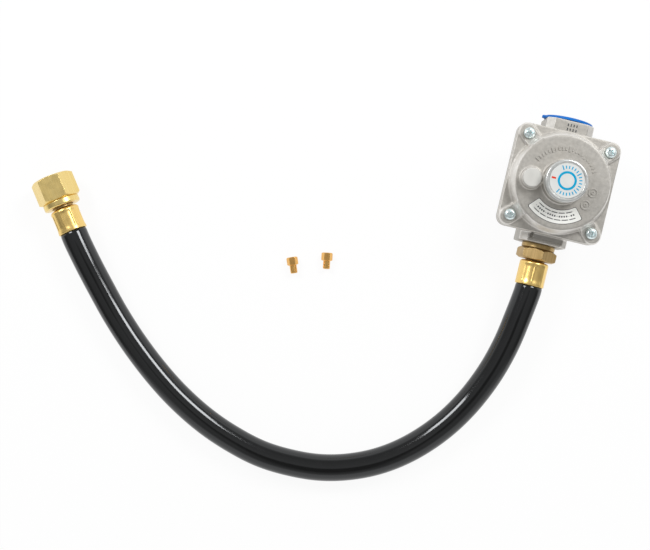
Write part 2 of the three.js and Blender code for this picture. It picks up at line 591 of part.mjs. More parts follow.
// Runs down from its riveted head through both plates to the neck and button that lift the lever.
function diaphragmStem() {
  const buttonBase = LEVER_TOP - LEVER_PLATE / 2 - STEM_BUTTON_HEIGHT - 1.2;
  const buttonTop = buttonBase + STEM_BUTTON_HEIGHT;
  const neckTop = LEVER_TOP + 0.6;
  const lowerPlateBase = DIAPHRAGM_MIDDLE - PLATE_THICKNESS;
  return turned([
    [0, buttonBase], [STEM_BUTTON_RADIUS, buttonBase], [STEM_BUTTON_RADIUS, buttonTop], [STEM_NECK_RADIUS, buttonTop],
    [STEM_NECK_RADIUS, neckTop], [STEM_RADIUS + 1.6, neckTop + 0.8], [STEM_RADIUS + 1.6, lowerPlateBase],
    [STEM_RADIUS, lowerPlateBase], [STEM_RADIUS, UPPER_PLATE_TOP], [STEM_RADIUS + 1.8, UPPER_PLATE_TOP],
    [STEM_RADIUS + 1.2, UPPER_PLATE_TOP + 1.2], [0, UPPER_PLATE_TOP + 1.2],
  ], SMALL_ROUND);
}

// Bell crank: the leg rises from the pin through the pusher, the forked arm reaches the stem.
function lever() {
  const half = LEVER_THICKNESS / 2;
  const leg = LEVER_LEG / 2;
  const armBase = LEVER_TOP - LEVER_PLATE;
  const nose = LEVER_NOSE / 2;
  const middle = PORT_AXIS_HEIGHT;
  const outline = polygon([
    [leg, PIN_HEIGHT], [leg, middle - nose], [nose, middle - nose / 3], [nose, middle + nose / 3],
    [leg, middle + nose], [leg, LEVER_TOP], [-leg, LEVER_TOP], [-leg, middle + nose],
    [-nose, middle + nose / 3], [-nose, middle - nose / 3], [-leg, middle - nose], [-leg, PIN_HEIGHT],
  ]);
  // The outline is drawn in Y and Z and pulled along X.
  const crank = slab(outline, -half, half).rotateY(Math.PI / 2).rotateX(Math.PI / 2).translate(0, LEVER_LONG_ARM, 0);
  const eye = rodAlongX(PIN_RADIUS + LEVER_EYE_WALL, half, LEVER_LONG_ARM, PIN_HEIGHT);
  const prong = STEM_NECK_RADIUS + RUNNING_GAP;
  const arm = block(-LEVER_WIDTH / 2, LEVER_WIDTH / 2, -LEVER_REACH, LEVER_LONG_ARM + leg, armBase, LEVER_TOP);
  const fork = block(-prong, prong, -LEVER_REACH - 1, prong, armBase - 1, LEVER_TOP + 1);
  return cut(join(crank, eye, arm), fork, rodAlongX(PIN_RADIUS + 0.15, 2, LEVER_LONG_ARM, PIN_HEIGHT));
}

function valvePusher() {
  const discBase = DISC_FACE - DISC_THICKNESS;
  const slotHalf = LEVER_NOSE / 2 + FIT_GAP;
  const barrel = rodAlongY(PUSHER_RADIUS, PUSHER_START, discBase + DISC_CUP_DEPTH, PORT_AXIS_HEIGHT);
  const cup = rodAlongY(DISC_RADIUS + FIT_GAP, discBase, discBase + 3, PORT_AXIS_HEIGHT);
  const slotWidth = LEVER_THICKNESS / 2 + RUNNING_GAP;
  const reach = PUSHER_RADIUS + 1;
  const slot = block(-slotWidth, slotWidth, LEVER_LONG_ARM - slotHalf, LEVER_LONG_ARM + slotHalf,
    PORT_AXIS_HEIGHT - reach, PORT_AXIS_HEIGHT + reach);
  return cut(barrel, cup, slot);
}

function inletNozzle() {
  const wallEnd = PORT_BORE_END;
  const hex = hexagonBar(NOZZLE_HEX_FLATS, wallEnd + FIT_GAP, wallEnd + FIT_GAP + NOZZLE_HEX_LENGTH, ['top']);
  const turnedPart = turned([
    [0, NOZZLE_FACE], [NOZZLE_NOSE_RADIUS - 0.5, NOZZLE_FACE], [NOZZLE_NOSE_RADIUS, NOZZLE_FACE + 0.6],
    [NOZZLE_NOSE_RADIUS, VALVE_CHAMBER_END + FIT_GAP], [NOZZLE_THREAD_RADIUS, VALVE_CHAMBER_END + FIT_GAP],
    [NOZZLE_THREAD_RADIUS, wallEnd + 1], [0, wallEnd + 1],
  ], SMALL_ROUND);
  const bore = rod(NOZZLE_BORE_RADIUS, NOZZLE_FACE - 1, wallEnd + 10, 12);
  return cut(join(hex, turnedPart), bore).rotateX(-Math.PI / 2).translate(0, 0, PORT_AXIS_HEIGHT);
}

// ---------------------------------------------------------------- ports and hose ends, each along +Z from 0

function dustPlug() {
  const spigot = PORT_THREAD_RADIUS;
  const depth = PLUG_SPIGOT_LENGTH;
  const flange = PLUG_FLANGE_RADIUS;
  const cup = turned([
    [spigot - PLUG_WALL, -depth], [spigot - 0.4, -depth], [spigot, 1 - depth], [spigot, 0], [flange - 0.3, 0],
    [flange, 0.3], [flange, PLUG_FLANGE_THICKNESS - 0.3], [flange - 0.3, PLUG_FLANGE_THICKNESS],
    [spigot - PLUG_WALL - 0.3, PLUG_FLANGE_THICKNESS], [spigot - PLUG_WALL - 0.3, 0.8 - depth + PLUG_WALL],
    [0, 0.8 - depth + PLUG_WALL], [0, 0.8 - depth], [spigot - PLUG_WALL, 0.8 - depth],
  ]);
  const tab = block(-PLUG_TAB_WIDTH / 2, PLUG_TAB_WIDTH / 2, flange - 1, flange + PLUG_TAB_LENGTH, 0, PLUG_FLANGE_THICKNESS);
  return join(cup, tab.rotateZ(-Math.PI / 2 + Math.PI));
}

// Outline of a barbed stem between two heights, its tip first.
function barbs(tip, root) {
  const pitch = Math.abs(root - tip) / BARB_COUNT;
  const outline = [[BARB_ROOT_RADIUS - 0.3, tip]];
  for (let i = 0; i < BARB_COUNT; i += 1) {
    const start = tip - i * pitch;
    outline.push([BARB_RADIUS, start - 0.8 * pitch], [BARB_ROOT_RADIUS, start - 0.8 * pitch - 0.05]);
  }
  return outline;
}

const OUTLET_HEX_START = FIT_GAP + OUTLET_COLLAR_LENGTH;
const OUTLET_HEX_END = OUTLET_HEX_START + OUTLET_HEX_LENGTH;
const OUTLET_FERRULE_START = OUTLET_HEX_END + STEM_GAP;
const OUTLET_MOUTH = OUTLET_FERRULE_START + FERRULE_LENGTH;

function outletFitting() {
  const hex = hexagonBar(OUTLET_HEX_FLATS, OUTLET_HEX_START, OUTLET_HEX_END)
    .rotateZ(THREE.MathUtils.degToRad(OUTLET_HEX_ROLL));
  const root = OUTLET_FERRULE_START - FIT_GAP;
  const turnedPart = turned([
    [0, -OUTLET_THREAD_LENGTH], [PORT_THREAD_RADIUS - 1, -OUTLET_THREAD_LENGTH],
    [PORT_THREAD_RADIUS, 1 - OUTLET_THREAD_LENGTH], [PORT_THREAD_RADIUS, FIT_GAP], [OUTLET_COLLAR_RADIUS, FIT_GAP],
    [OUTLET_COLLAR_RADIUS, OUTLET_HEX_START + 0.2], [NECK_RADIUS, OUTLET_HEX_START + 0.2], [NECK_RADIUS, root],
    ...barbs(OUTLET_MOUTH - 2, root).reverse(), [0, OUTLET_MOUTH - 2],
  ], SMALL_ROUND);
  return cut(join(hex, turnedPart), rod(OUTLET_BORE_RADIUS, -OUTLET_THREAD_LENGTH - 1, OUTLET_MOUTH));
}

// Closed end with its hole at 0, open mouth at the far end, crimped into a ring of flats between ribs.
function ferrule() {
  const outer = FERRULE_RADIUS;
  const mouth = FERRULE_LENGTH;
  const inner = outer - FERRULE_WALL;
  const shell = turned([
    [BARB_RADIUS + FIT_GAP + 0.2, 0], [outer - 1.4, 0], ...fillet(outer - 1.2, 1.2, 1.2, -60, 0),
    [outer, mouth - 0.8], [outer - 0.5, mouth], [inner, mouth], [inner, 1.2], [BARB_RADIUS + FIT_GAP + 0.2, 1.2],
  ]);
  const points = [];
  for (let i = 0; i < FERRULE_RIBS * 4; i += 1) {
    const angle = i * 2 * Math.PI / (FERRULE_RIBS * 4);
    const reach = outer + 0.05 - (i % 4 === 0 ? 0 : FERRULE_RIB_HEIGHT);
    points.push([reach * Math.cos(angle), reach * Math.sin(angle)]);
  }
  const crimp = join(
    slab(polygon(points), 1.8, mouth - 2.2),
    rod(outer + 1, -1, 1.9, ROUND),
    rod(outer + 1, mouth - 2.3, mouth + 1, ROUND),
  );
  return common(shell, crimp);
}

const FAR_NECK_START = FERRULE_LENGTH + FAR_STEM_GAP;
const FAR_HEX_START = FAR_NECK_START + NUT_NECK_LENGTH;
const FAR_NUT_END = FAR_HEX_START + NUT_HEX_LENGTH;
const NUT_SHOULDER = FAR_NUT_END - NUT_THREAD_DEPTH;

function swivelNut() {
  const neck = turned([
    [0, FAR_NECK_START], [NUT_NECK_RADIUS - 0.8, FAR_NECK_START], [NUT_NECK_RADIUS, FAR_NECK_START + 0.8],
    [NUT_NECK_RADIUS, FAR_HEX_START + 1], [0, FAR_HEX_START + 1],
  ]);
  const hex = hexagonBar(NUT_HEX_FLATS, FAR_HEX_START, FAR_NUT_END);
  const bore = turned([
    [0, FAR_NECK_START - 1], [NUT_BACK_RADIUS, FAR_NECK_START - 1], [NUT_BACK_RADIUS, NUT_SHOULDER],
    [NUT_THREAD_RADIUS, NUT_SHOULDER], [NUT_THREAD_RADIUS, FAR_NUT_END - 0.8],
    [NUT_THREAD_RADIUS + 1, FAR_NUT_END + 0.2], [NUT_THREAD_RADIUS + 1, FAR_NUT_END + 1], [0, FAR_NUT_END + 1],
  ]);
  return cut(join(neck, hex), bore);
}

function farInsert() {
  const root = FERRULE_LENGTH + FIT_GAP;
  const flareBase = NUT_SHOULDER + FIT_GAP;
  const flareTop = flareBase + FLARE_LENGTH;
  const blank = turned([
    [0, 2], ...barbs(2, root).map(([radius, height]) => [radius, 2 + (2 - height)]),
    [NECK_RADIUS, root], [NECK_RADIUS, flareBase], [FLARE_RADIUS, flareBase], [FLARE_RADIUS, flareTop], [0, flareTop],
  ], SMALL_ROUND);
  const seat = turned([
    [0, flareTop - FLARE_SEAT_DEPTH], [OUTLET_BORE_RADIUS, flareTop - FLARE_SEAT_DEPTH],
    [FLARE_SEAT_RADIUS, flareTop], [FLARE_SEAT_RADIUS, flareTop + 1], [0, flareTop + 1],
  ], SMALL_ROUND);
  return cut(blank, seat, rod(OUTLET_BORE_RADIUS, 0, flareTop + 1));
}

function spareOrifice() {
  const half = SPARE_HEX_LENGTH / 2;
  const stub = rod(SPARE_STUB_RADIUS, half - 0.5, half + SPARE_STUB_LENGTH);
  const bore = rod(SPARE_BORE_RADIUS, -half - 1, half + SPARE_STUB_LENGTH + 1, 12);
  return cut(join(hexagonBar(SPARE_HEX_FLATS, -half, half), stub), bore);
}

// ---------------------------------------------------------------- hose

function hose() {
  const lying = HOSE_RADIUS + HOSE_LIFT;
  const heading = THREE.MathUtils.degToRad(FAR_HEADING);
  const nearMouth = new THREE.Vector3(0, -OUTLET_REACH - OUTLET_MOUTH, PORT_AXIS_HEIGHT);
  const farMouth = new THREE.Vector3(FAR_MOUTH_X, FAR_MOUTH_Y, NUT_HEX_FLATS / 2);
  const nearOut = new THREE.Vector3(0, -1, 0);
  const farOut = new THREE.Vector3(-Math.cos(heading), -Math.sin(heading), 0);
  const away = (mouth, direction, distance) => mouth.clone().addScaledVector(direction, distance);
  const route = new THREE.CatmullRomCurve3([
    away(nearMouth, nearOut, FIT_GAP), away(nearMouth, nearOut, HOSE_LEAD),
    ...HOSE_ROUTE.map(([x, y, rise]) => new THREE.Vector3(x, y, lying + rise)),
    away(farMouth, farOut, HOSE_LEAD), away(farMouth, farOut, FIT_GAP),
  ], false, 'centripetal');
  console.log('hose length between the ferrules', route.getLength().toFixed(1), 'mm');

  const section = circle(HOSE_RADIUS, HOSE_SIDES);
  section.holes.push(circle(HOSE_BORE_RADIUS, HOSE_SIDES));
  const tube = new THREE.ExtrudeGeometry(section, { steps: HOSE_STEPS, bevelEnabled: false, extrudePath: route });

  // The ends run on into the ferrules, squeezed outside and stretched over the stems inside.
  const tailLength = FERRULE_LENGTH - FERRULE_WALL - 2 * FIT_GAP;
  const tail = (mouth, direction) => {
    const turn = new THREE.Quaternion().setFromUnitVectors(new THREE.Vector3(0, 0, 1), direction);
    const start = away(mouth, direction, -tailLength);
    return ring(HOSE_STRETCHED_BORE, HOSE_CRIMPED_RADIUS, 0, tailLength + 1.5)
      .applyQuaternion(turn).translate(start.x, start.y, start.z);
  };
  return join(tube, tail(nearMouth, nearOut), tail(farMouth, farOut));
}

// ---------------------------------------------------------------- materials

const material = (color, roughness, metalness) => new THREE.MeshStandardMaterial({ color, roughness, metalness });
const castAluminium = material(0xbebbb4, 0.5, 0.8);
const brass = material(0xc6b066, 0.3, 0.9);
const ferruleBrass = material(0xd7b45f, 0.25, 0.9);
const zincSteel = material(0xc9ced2, 0.35, 0.9);
const springSteel = material(0x8f9296, 0.35, 0.9);
const whitePlastic = material(0xdee2e2, 0.5, 0);
const bluePlastic = material(0x0055c8, 0.45, 0);
const rubber = material(0x1c1c1d, 0.8, 0);
const hoseRubber = material(0x232424, 0.6, 0);

// ---------------------------------------------------------------- assembly

function part(name, geometry, finish) {
  const shape = toGeometry(toSolid(geometry));
  shape.computeVertexNormals();
  const mesh = new THREE.Mesh(shape, finish);
  mesh.name = name;
  return mesh;
}

function raised(mesh, x, y, z) {
  mesh.position.set(x, y, z);
  return mesh;
}

const regulator = new THREE.Group();
regulator.add(
  part('regulator_body', regulatorBody(), castAluminium),
  part('regulator_cover', regulatorCover(), castAluminium),
  part('diaphragm', diaphragm(), rubber),
  raised(part('upper_diaphragm_plate', diaphragmPlate(UPPER_PLATE_RADIUS, 0.6, true), zincSteel), 0, 0, UPPER_PLATE_BASE),
  raised(part('lower_diaphragm_plate', diaphragmPlate(LOWER_PLATE_RADIUS, 0, false), zincSteel),
    0, 0, DIAPHRAGM_MIDDLE - PLATE_THICKNESS),
  part('diaphragm_stem', diaphragmStem(), zincSteel),
  part('regulating_spring', regulatingSpring(), springSteel),
  raised(part('spring_seat', springSeat(), zincSteel), 0, 0, SEAT_BASE),
  raised(part('adjusting_screw', settingScrew(), brass), 0, 0, SETTING_SCREW_BASE),
  raised(part('seal_cap_gasket', ring(TOWER_BORE_RADIUS, TOWER_TOP_RADIUS - 0.4, 0, GASKET_THICKNESS, ROUND), rubber),
    0, 0, TOWER_TOP),
  raised(part('seal_cap', sealCap(), castAluminium), 0, 0, TOWER_TOP + GASKET_THICKNESS),
  raised(part('vent_screen', ventScreen(), zincSteel), VENT_X, VENT_Y, VENT_TOP - VENT_SEAT_DEPTH),
  raised(part('vent_cap', ventCap(), whitePlastic), VENT_X, VENT_Y, VENT_TOP),
  part('valve_lever', lever(), zincSteel),
  part('lever_pin', rodAlongX(PIN_RADIUS, PIN_LENGTH / 2, LEVER_LONG_ARM, PIN_HEIGHT), zincSteel),
  part('valve_pusher', valvePusher(), brass),
  part('valve_disc', rodAlongY(DISC_RADIUS, DISC_FACE - DISC_THICKNESS, DISC_FACE, PORT_AXIS_HEIGHT), rubber),
  part('inlet_nozzle', inletNozzle(), brass),
);
atScrews((x, y) => [x, y]).forEach(([x, y], i) => {
  regulator.add(raised(part(`cover_screw_${i + 1}`, coverScrew(), zincSteel), x, y, PAD_TOP));
});

// Pieces drawn along +Z are laid along the ports by their groups.
const inletEnd = new THREE.Group();
inletEnd.position.set(0, INLET_REACH + FIT_GAP, PORT_AXIS_HEIGHT);
inletEnd.rotation.x = -Math.PI / 2;
inletEnd.add(part('inlet_dust_plug', dustPlug(), bluePlastic));

const outletEnd = new THREE.Group();
outletEnd.position.set(0, -OUTLET_REACH, PORT_AXIS_HEIGHT);
outletEnd.rotation.x = Math.PI / 2;
outletEnd.add(
  part('outlet_fitting', outletFitting(), brass),
  raised(part('outlet_ferrule', ferrule(), ferruleBrass), 0, 0, OUTLET_FERRULE_START),
);

// A group lying on the table at a height, its +Z pointing along a heading.
function lying(x, y, height, heading, ...meshes) {
  const place = new THREE.Group();
  place.position.set(x, y, height);
  place.rotation.z = THREE.MathUtils.degToRad(heading + 90);
  const axis = new THREE.Group();
  axis.rotation.x = Math.PI / 2;
  axis.add(...meshes);
  place.add(axis);
  return place;
}

const farFerrule = part('far_ferrule', ferrule().rotateY(Math.PI).translate(0, 0, FERRULE_LENGTH), ferruleBrass);
const farEnd = lying(FAR_MOUTH_X, FAR_MOUTH_Y, NUT_HEX_FLATS / 2, FAR_HEADING,
  farFerrule, part('far_insert', farInsert(), brass), part('swivel_nut', swivelNut(), brass));

const assembly = new THREE.Group();
assembly.add(regulator, inletEnd, outletEnd, farEnd, part('hose', hose(), hoseRubber));
for (const { name, x, y, heading } of SPARE_PLACES) {
  assembly.add(lying(x, y, SPARE_HEX_FLATS / 2, heading, part(name, spareOrifice(), brass)));
}

export default assembly;
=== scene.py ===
# The looks of a low-pressure propane regulator with its hose, its swivel nut and two spare orifices.
# Lengths in this file are millimetres in the part's own frame, and MM turns them into Blender's metres.

import math

import bmesh
import bpy
from mathutils import Matrix, Vector


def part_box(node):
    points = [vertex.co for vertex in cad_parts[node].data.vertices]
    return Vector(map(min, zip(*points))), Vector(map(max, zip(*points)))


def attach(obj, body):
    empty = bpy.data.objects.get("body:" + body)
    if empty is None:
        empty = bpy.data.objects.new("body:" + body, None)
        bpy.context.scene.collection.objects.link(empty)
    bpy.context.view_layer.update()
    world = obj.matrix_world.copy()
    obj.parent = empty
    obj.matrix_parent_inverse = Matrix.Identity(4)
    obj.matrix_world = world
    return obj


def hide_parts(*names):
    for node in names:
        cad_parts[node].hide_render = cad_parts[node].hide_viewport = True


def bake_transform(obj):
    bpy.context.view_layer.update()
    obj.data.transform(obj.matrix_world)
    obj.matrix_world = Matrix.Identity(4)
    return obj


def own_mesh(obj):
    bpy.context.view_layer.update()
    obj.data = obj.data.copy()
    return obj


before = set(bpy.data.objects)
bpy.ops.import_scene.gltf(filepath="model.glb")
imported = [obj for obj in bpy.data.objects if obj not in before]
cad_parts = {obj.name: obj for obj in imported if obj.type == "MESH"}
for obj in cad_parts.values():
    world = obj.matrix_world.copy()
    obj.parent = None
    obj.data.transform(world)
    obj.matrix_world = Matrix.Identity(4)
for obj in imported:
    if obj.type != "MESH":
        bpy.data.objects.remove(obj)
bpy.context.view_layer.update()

MM = 0.001


def span(node):
    """The lowest and highest corner of a CAD node."""
    return [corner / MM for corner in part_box(node)]


# ---------------------------------------------------------------- sizes

# Places taken from the frame
INLET_REACH = span("regulator_body")[1].y
OUTLET_REACH = -span("regulator_body")[0].y
JOINT_FACE = span("regulator_body")[1].z
COVER_BASE, TOWER_TOP = (corner.z for corner in span("regulator_cover"))
PORT_HEIGHT = (span("outlet_ferrule")[0].z + span("outlet_ferrule")[1].z) / 2
PLUG_FACE = span("inlet_dust_plug")[1].y
CAP_TOP = span("seal_cap")[1].z
VENT_CAP_TOP = span("vent_cap")[1].z
SCREW_TOP = span("cover_screw_1")[1].z
SCREW_OFFSET = (span("cover_screw_1")[0].x + span("cover_screw_1")[1].x) / 2
VENT_X, VENT_Y, _ = (span("vent_cap")[0] + span("vent_cap")[1]) / 2

# The two castings
FLANGE_SIDE = 60
FLANGE_CORNER = 5.5
EDGE = 0.4
BODY_FLANGE = 5
COVER_FLANGE = 4.5
FLANGE_TOP = COVER_BASE + COVER_FLANGE
PAD_TOP = FLANGE_TOP + 1.2
PAD_WIDTH = 9.6
DRUM_TOP = FLANGE_TOP + 8.5
DRUM_BASE_RADIUS = 28.7
DRUM_TOP_RADIUS = 26.9
TOWER_BASE_RADIUS = 12.2
TOWER_TOP_RADIUS = 11.9
TOWER_BORE_RADIUS = 9.9
CHAMBER_RADIUS = 22.5
CHAMBER_DEPTH = 6
COVER_WALL = 5
VENT_TOP = DRUM_TOP + 5
VENT_RADII = (6.3, 5.7)  # at the drum and at the top
VENT_BORE_RADIUS = 4.4
VENT_BORE_DEPTH = 3.4
VENT_DUCT_RADIUS = 3.1
AT_VENT = Matrix.Translation((VENT_X, VENT_Y, 0))
BOWL_TOP_RADIUS = 26
BOWL_BASE_RADIUS = 21.5
FOOT_RADIUS = 14
PORT_WIDTH = 27.6
PORT_CHAMFER = 4.3
PORT_COLLAR = 1.3
PORT_POCKET_RIM = 0.9
PORT_POCKET_DEPTH = 1.2
PORT_BORE_RADIUS = 8.85
PORT_BORE_END = 24
PORT_THREAD_RADIUS = 8.55
VALVE_ROOM = (7.5, 18.5, 5.5)  # half its width, half its length and its floor
VALVE_ROOM_WALL = 17.5  # where the two ports' passages break into it
OUTLET_PASSAGE_RADIUS = 6.5
INLET_PASSAGE_RADIUS = 4
CAST_GRAIN = 0.42  # mesh size of the castings
SOFT_SHAPE = 60  # the sharp angle of pieces without machined faces

# Screws, caps and plug
SCREW_HEAD_RADIUS = 3.15
SCREW_HEAD_HEIGHT = 2.3
SCREW_SHANK_RADIUS = 1.9
SCREW_LENGTH = 10.5
CAP_RADIUS = 11.9
CAP_FACE_RADIUS = 9.7
CAP_FACE_TOP = CAP_TOP - 0.1
CAP_SPIGOT = (TOWER_BORE_RADIUS - 0.4, 1.6, 4.4)  # radius, wall and depth
GASKET_THICKNESS = 0.8
VENT_CAP_RADIUS = 5.3
PLUG_RADIUS = 14.3
PLUG_THICKNESS = 1.6
PLUG_DEPTH = 8
PLUG_WALL = 1.2
PLUG_RECESS = 0.8  # from the end of its skirt to its floor
PLUG_TAB = (1.3, 2.0)  # reach past the rim and half its width

# Regulating spring, the radius to the middle of its wire
SPRING_RADIUS = 8.2
SPRING_WIRE_RADIUS = 0.7
SPRING_TURNS = 4.25

# Hose and its ends, each measured along its own axis
HOSE_RADIUS = 7.95
HOSE_BORE_RADIUS = 4.75
HOSE_TAIL_RADIUS = 7.2
HOSE_TAIL_BORE = 5.1
HOSE_TAIL = 12.7  # how far the hose runs into a ferrule
HOSE_LIFT = 0.1
FIT_GAP = 0.3
FERRULE_RADIUS = 8.5
FERRULE_LENGTH = 14.3
OUTLET_HEX = (20.6, 3.2, 9.6, 19)  # across flats, start, end, roll in degrees
OUTLET_FERRULE_START = 10.4
OUTLET_MOUTH = OUTLET_FERRULE_START + FERRULE_LENGTH
OUTLET_COLLAR_RADIUS = 9.75
OUTLET_THREAD_LENGTH = 10.2
STEM_BORE_RADIUS = 3.2
STEM_TIP = 2  # how far short of the ferrule's mouth a stem ends
BARB_RADII = (4.2, 4.7, 3.9)  # root, crest and tip
NUT_HEX = (22.2, 19.7, 34.3, 0)
NUT_NECK_START = 15.8
NUT_NECK_RADIUS = 10.8
NUT_BACK_RADIUS = 6.25
NUT_THREAD_RADIUS = 8.7
NUT_THREAD_DEPTH = 11.5
NECK_RADIUS = 5.8
FAR_MOUTH = Vector((-268.8, -91.5, NUT_HEX[0] / 2))
FAR_HEADING = 126

HOSE_LEAD = (3, 6)  # straight length at the outlet and at the far end
HOSE_ROUTE = [  # x, y and rise above lying flat
    (-1.9, -78.4, 6.6), (-4.8, -97.3, 4.9), (-10.1, -116.8, 2.7), (-19.0, -137.2, 0.7),
    (-30.4, -154.6, 0), (-45.0, -170.0, 0), (-60.5, -181.3, 0), (-77.0, -189.0, 0),
    (-94.2, -193.6, 0), (-112.2, -195.0, 0), (-130.9, -193.8, 0), (-150.3, -188.9, 0),
    (-167.5, -182.3, 0), (-185.0, -173.0, 0), (-200.3, -162.7, 0), (-217.7, -148.6, 0),
    (-233.1, -133.9, 0.2), (-246.6, -118.9, 1.2), (-256.4, -107.4, 2.3),
]

# Spare orifices: middle of the hexagon and direction towards the stub
SPARES = {"orifice_a": (-138.9, -78.4, -67.8), "orifice_b": (-119.4, -71.0, -79.9)}
SPARE_FLATS = 5.8
SPARE_HALF_LENGTH = 2.45
SPARE_STUB = (2.1, 4.9)  # radius and length
SPARE_BORE_RADIUS = 0.6

# The photograph's camera looks straight down
CAMERA_PLACE = (-118.0, -81.9, 750)
CAMERA_TURN = 13.5  # degrees
FOCAL_PIXELS = 1250
IMAGE_WIDTH = 650
SENSOR = 36
PICTURE_UP = (-0.2334, 0.9724, 0)
PICTURE_RIGHT = (0.9724, 0.2334, 0)
SOFTBOX_REACH = 1.4  # metres


# ---------------------------------------------------------------- making meshes

def linear(colour):
    """An sRGB hex colour as the linear values that a socket takes."""
    channels = [int(colour[i:i + 2], 16) / 255 for i in (1, 3, 5)]
    return [c / 12.92 if c <= 0.04045 else ((c + 0.055) / 1.055) ** 2.4 for c in channels] + [1]


def as_object(name, source):
    """A bmesh in millimetres as an object in the scene, its faces turned outwards."""
    bmesh.ops.recalc_face_normals(source, faces=source.faces)
    bmesh.ops.scale(source, vec=(MM, MM, MM), verts=source.verts)
    mesh = bpy.data.meshes.new(name)
    source.to_mesh(mesh)
    source.free()
    made = bpy.data.objects.new(name, mesh)
    bpy.context.scene.collection.objects.link(made)
    return made


def loft(name, rings, loop=False, place=Matrix(), lengths=None, girth=0):
    """A closed skin over rings of points, where a ring of one point is a pole.
    A loop joins the last ring to the first. Lengths along the rings, with a girth, give it a UV map in metres."""
    source = bmesh.new()
    rows = [[source.verts.new(place @ Vector(point)) for point in ring] for ring in rings]
    wrap = source.loops.layers.uv.new("wrap") if lengths else None
    steps = [(row, (row + 1) % len(rows)) for row in range(len(rows) - (0 if loop else 1))]
    for low, high in steps:
        count = max(len(rows[low]), len(rows[high]))
        for i in range(count):
            corners = [(low, i), (low, i + 1), (high, i + 1), (high, i)]
            used = {}
            for row, column in corners:
                used.setdefault(rows[row][column % len(rows[row])], (row, column))
            face = source.faces.new(used)
            if wrap:
                for corner, (row, column) in zip(face.loops, used.values()):
                    corner[wrap].uv = (girth * column / count * MM, lengths[row] * MM)
    if not loop:
        for row in (rows[0], rows[-1]):
            if len(row) > 2:
                source.faces.new(row)
    return as_object(name, source)


def rounded(corners, step=15):
    """An outline of (x, y, fillet) corners as points, with an arc at each corner that has a fillet."""
    points = []
    for i, (x, y, *fillet) in enumerate(corners):
        corner = Vector((x, y))
        if not fillet:
            points.append(corner)
            continue
        before = (Vector(corners[i - 1][:2]) - corner).normalized()
        after = (Vector(corners[(i + 1) % len(corners)][:2]) - corner).normalized()
        half = before.angle(after) / 2
        centre = corner + (before + after).normalized() * fillet[0] / math.sin(half)
        start, end = (corner + side * fillet[0] / math.tan(half) - centre for side in (before, after))
        first = math.atan2(start.y, start.x)
        turn = (math.atan2(end.y, end.x) - first + math.pi) % (2 * math.pi) - math.pi
        count = max(2, round(abs(math.degrees(turn)) / step))
        for k in range(count + 1):
            angle = first + turn * k / count
            points.append(centre + fillet[0] * Vector((math.cos(angle), math.sin(angle))))
    return points


def circle(radius, height, sides):
    angles = [2 * math.pi * i / sides for i in range(sides)]
    return [(radius * math.cos(a), radius * math.sin(a), height) for a in angles]


def turned(name, corners, sides=96, place=Matrix()):
    """A solid of revolution about Z. Its outline of (radius, height, fillet) starts and ends on the axis, or closes."""
    outline = rounded(corners)
    on_axis = outline[0].x < 1e-6
    rings = [circle(r, z, sides) if r > 1e-6 else [(0, 0, z)] for r, z in outline]
    return loft(name, rings, loop=not on_axis, place=place)


def slab(name, outline, heights, place=Matrix()):
    """A flat outline lofted along Z: a function of how far it is drawn in. Heights are (height, inset)."""
    return loft(name, [[(x, y, z) for x, y in outline(inset)] for z, inset in heights], place=place)


def block(name, low, high, place=Matrix()):
    (x0, y0, z0), (x1, y1, z1) = low, high
    ring = [(x0, y0), (x1, y0), (x1, y1), (x0, y1)]
    return loft(name, [[(x, y, z) for x, y in ring] for z in (z0, z1)], place=place)


def edged(bottom, top, edge):
    """Heights and insets of a slab whose edges are rounded at both faces."""
    arc = [edge * (1 - math.sin(math.radians(a))) for a in (0, 30, 60, 90)]
    rise = [edge * (1 - math.cos(math.radians(a))) for a in (0, 30, 60, 90)]
    low = [(bottom + up, inward) for up, inward in zip(rise, arc)]
    return low + [(top - up, inward) for up, inward in zip(reversed(rise), reversed(arc))]


def applied(piece, *modifiers):
    """Runs modifiers of the form (kind, settings) and keeps their result as the piece's own mesh."""
    for kind, settings in modifiers:
        modifier = piece.modifiers.new(kind, kind)
        for key, value in settings.items():
            setattr(modifier, key, value)
    evaluated = piece.evaluated_get(bpy.context.evaluated_depsgraph_get())
    mesh = bpy.data.meshes.new_from_object(evaluated)
    piece.modifiers.clear()
    piece.data = mesh
    return piece


def combined(piece, operation, *others):
    """Joins others to a piece, or cuts them from it, and removes them."""
    settings = {"operation": operation, "solver": "MANIFOLD"}
    applied(piece, *[("BOOLEAN", {**settings, "object": other}) for other in others])
    for other in others:
        bpy.data.objects.remove(other)
    return piece


def bevelled(piece, width=0.12, angle=28):
    return applied(piece, ("BEVEL", {
        "width": width * MM, "segments": 2, "limit_method": "ANGLE", "angle_limit": math.radians(angle),
        "harden_normals": False,
    }))


def along(x, y, z, heading):
    """Lays a piece drawn along +Z at a place, pointing along a heading in degrees, with its +Y up."""
    turn = Matrix.Rotation(math.radians(heading + 90), 4, "Z") @ Matrix.Rotation(math.pi / 2, 4, "X")
    return Matrix.Translation((x, y, z)) @ turn


def dressed(piece, finish, body, nodes=(), sharp=30):
    """Gives a finished piece its material and its shading, puts it on its body if it has one alone, and hides the CAD
    nodes that it stands for.
    """
    piece.data.materials.clear()
    piece.data.materials.append(finish)
    piece.data.shade_smooth()
    piece.data.set_sharp_from_angle(angle=math.radians(sharp))
    if sharp < SOFT_SHAPE:
        applied(piece, ("WEIGHTED_NORMAL", {"keep_sharp": True, "weight": 100}))
    if body:
        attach(piece, body)
    if nodes:
        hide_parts(*nodes)
    return piece


# ---------------------------------------------------------------- node trees

